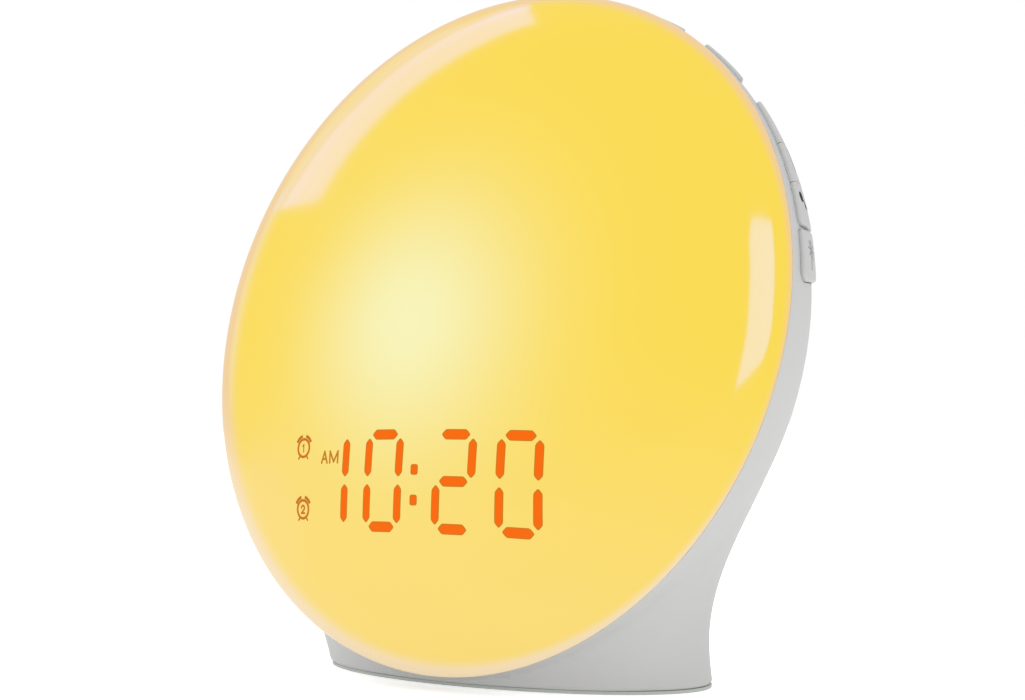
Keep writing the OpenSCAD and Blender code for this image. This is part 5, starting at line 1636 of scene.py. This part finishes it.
@dataclass
class Studio:
    """Pale floor, white surroundings, a soft lamp, light sheets and the camera.

    The rows of the light sheets are in millimetres.
    """

    azimuth: float = math.radians(38.572)
    elevation: float = math.radians(-2.257)
    roll: float = math.radians(-0.92)
    distance: float = 455 * MM
    aim: Place = (0, 2.605 * MM, 79.272 * MM)
    focal: float = 64.48
    sensor: float = 36
    clip: Pair = (0.01, 100)
    floor_size: float = 30.0
    floor_colour: Colour = (0.9, 0.9, 0.895)
    floor_shade: float = 0.995
    floor_blotch: float = 3.0
    floor_lift: float = 0.5
    floor_bounce: float = 0.35
    gloss_sky: Colour = (0.8, 0.8, 0.8)
    lamp_place: Place = (-0.5, -0.5, 1.5)
    lamp_aim: Place = (0, 0, 0.05)
    lamp_size: float = 1.4
    lamp_power: float = 9.0
    left_colour: Colour = (0.095, 0.205, 1.0)
    left_strengths: tuple[float, ...] = (11.0, 9.6, 4.4)
    right_colour: Colour = (0.017, 0.23, 1.0)
    right_strength: float = 23.4

    GLOSSY = (
        "lens_dome", "lit_digits", "lit_edges", "lit_colon_digits", "lit_colon_edges", "lit_symbols",
        "lit_letters",
    )
    LEFT_ROWS = (
        ((-509, -150, 374), (-497, -139, 401), (-480, -130, 429), (-455, -122, 465), (-418, -109, 508),
         (-373, -95, 551), (-325, -67, 591), (-255, -4, 635)),
        ((-541, -84, 354), (-519, -92, 391), (-498, -83, 425), (-468, -74, 467), (-431, -59, 509),
         (-385, -37, 553), (-337, -4, 590), (-266, 66, 627)),
        ((-565, 12, 328), (-546, 4, 367), (-521, 16, 408), (-485, 24, 458), (-449, 46, 497),
         (-401, 82, 537), (-355, 124, 563), (-289, 210, 574)),
        ((-567, 112, 295), (-552, 69, 349), (-527, 94, 387), (-490, 101, 439), (-455, 132, 472),
         (-407, 180, 501), (-360, 190, 540), (-297, 270, 535)),
    )
    RIGHT_ROWS = (
        ((482, -120, 462), (494, -177, 422), (555, -218, 280), (578, -222, 200), (584, -235, 125),
         (583, -241, 48)),
        ((520, 132, 404), (546, 123, 363), (607, 97, 215), (619, 106, 118), (629, 43, 57), (597, -203, 38)),
    )

    def camera(self) -> None:
        """Sets up the camera."""
        az, el, roll = self.azimuth, self.elevation, self.roll
        back = Vector((math.sin(az) * math.cos(el), -math.cos(az) * math.cos(el), math.sin(el)))
        right = Vector((math.cos(az), math.sin(az), 0))
        up = back.cross(right)
        across = right * math.cos(roll) + up * math.sin(roll)
        upward = -right * math.sin(roll) + up * math.cos(roll)
        at = Vector(self.aim) + back * self.distance
        data = bpy.data.cameras.new("camera")
        data.lens, data.sensor_width, data.sensor_fit = self.focal, self.sensor, "HORIZONTAL"
        data.clip_start, data.clip_end = self.clip
        camera = bpy.data.objects.new("camera", data)
        bpy.context.collection.objects.link(camera)
        camera.matrix_world = Matrix([*zip(across, upward, back, at), (0, 0, 0, 1)])
        bpy.context.scene.camera = camera

    def world(self) -> None:
        """Sets up white surroundings that light the clock softly."""
        world = bpy.data.worlds.new("studio")
        bpy.context.scene.world = world
        bpy.context.scene.view_settings.view_transform = "Standard"
        world.use_nodes = True
        world.node_tree.nodes.clear()
        bench = NodeBench(world.node_tree)
        rays = bench.add("LightPath").outputs
        seen = bench.math("MAXIMUM", rays["Is Camera Ray"], rays["Is Transmission Ray"])
        colour = bench.mix(rays["Is Glossy Ray"], WHITE, (*self.gloss_sky, 1))
        light = bench.add("Background", {0: bench.mix(seen, colour, WHITE), 1: 1.0})
        bench.add("OutputWorld", {0: light.outputs[0]})

    def floor(self) -> None:
        """Makes the pale floor."""
        piece = started("plane", "floor", size=self.floor_size)
        made, bench, shader = new_material("floor")
        noise = bench.noise(bench.add("TexCoord").outputs["Object"], self.floor_blotch)
        shade = (*(c * self.floor_shade for c in self.floor_colour), 1)
        rays = bench.add("LightPath").outputs
        lift = bench.math("MULTIPLY", rays["Is Camera Ray"], self.floor_lift)
        bench.feed(shader, {
            "Base Color": bench.mix(noise, (*self.floor_colour, 1), shade),
            "Roughness": 0.9,
            "Specular IOR Level": 0.1,
            "Emission Color": WHITE,
            "Emission Strength": bench.math("MULTIPLY_ADD", rays["Is Diffuse Ray"], self.floor_bounce, lift),
        })
        made.cycles.emission_sampling = "NONE"
        piece.data.materials.append(made)

    def lamp(self) -> None:
        """Adds the soft square lamp."""
        data = bpy.data.lights.new("top_lamp", "AREA")
        data.size, data.energy = self.lamp_size, self.lamp_power
        lamp = bpy.data.objects.new("top_lamp", data)
        lamp.location = self.lamp_place
        lamp.rotation_mode = "QUATERNION"
        way = Vector(self.lamp_aim) - Vector(self.lamp_place)
        lamp.rotation_quaternion = way.to_track_quat("-Z", "Y")
        lamp.visible_glossy = False
        bpy.context.collection.objects.link(lamp)

    @cached_property
    def glossy(self) -> bpy.types.Collection:
        """The pieces that the light sheets show on."""
        group = bpy.data.collections.new("glossy")
        for name in self.GLOSSY:
            group.objects.link(bpy.data.objects[name])
        return group

    def card(self, name: str, rows: Sequence[Sequence[Place]], colour: Colour, strength: float) -> None:
        """Adds a light sheet that only glossy surfaces show.

        Args:
            name: The new object's name.
            rows: As many places along each of its two long edges.
            colour: Colour of its light.
            strength: Strength of its light.
        """
        mesh, count = bpy.data.meshes.new(name), len(rows[0])
        faces = [(i, i + 1, count + i + 1, count + i) for i in range(count - 1)]
        mesh.from_pydata([tuple(c * MM for c in corner) for row in rows for corner in row], [], faces)
        piece = bpy.data.objects.new(name, mesh)
        bpy.context.collection.objects.link(piece)
        made, bench, _ = new_material(name)
        made.node_tree.nodes.clear()
        glow = bench.add("Emission", {0: (*colour, 1), 1: strength})
        bench.add("OutputMaterial", {0: glow.outputs[0]})
        mesh.materials.append(made)
        piece.light_linking.receiver_collection = self.glossy
        for ray in ("camera", "diffuse", "transmission", "volume_scatter", "shadow"):
            setattr(piece, "visible_" + ray, False)

    def build(self) -> None:
        """Builds the whole studio."""
        self.camera()
        self.world()
        self.floor()
        self.lamp()
        pairs = zip(self.LEFT_ROWS, self.LEFT_ROWS[1:])
        for name, rows, strength in zip(("inner", "outer", "rim"), pairs, self.left_strengths):
            self.card("left_card_" + name, rows, self.left_colour, strength)
        self.card("right_card", self.RIGHT_ROWS, self.right_colour, self.right_strength)


def main() -> None:
    """Builds the clock's pieces and the studio in order."""
    logging.basicConfig(level=logging.INFO, format="%(name)s: %(message)s")
    dial = Dial()
    palette = Palette(dial)
    keys = RimKeys(dial)
    form = CaseForm(dial)
    InnerParts().build(palette)
    Lens(dial).build(palette)
    Case(form, keys).build(palette)
    keys.build(palette)
    KeyMarks(keys).build(palette)
    FootPad(form).build(palette)
    LitDisplay(dial).build(palette)
    Studio().build()


if __name__ == "__main__":
    main()
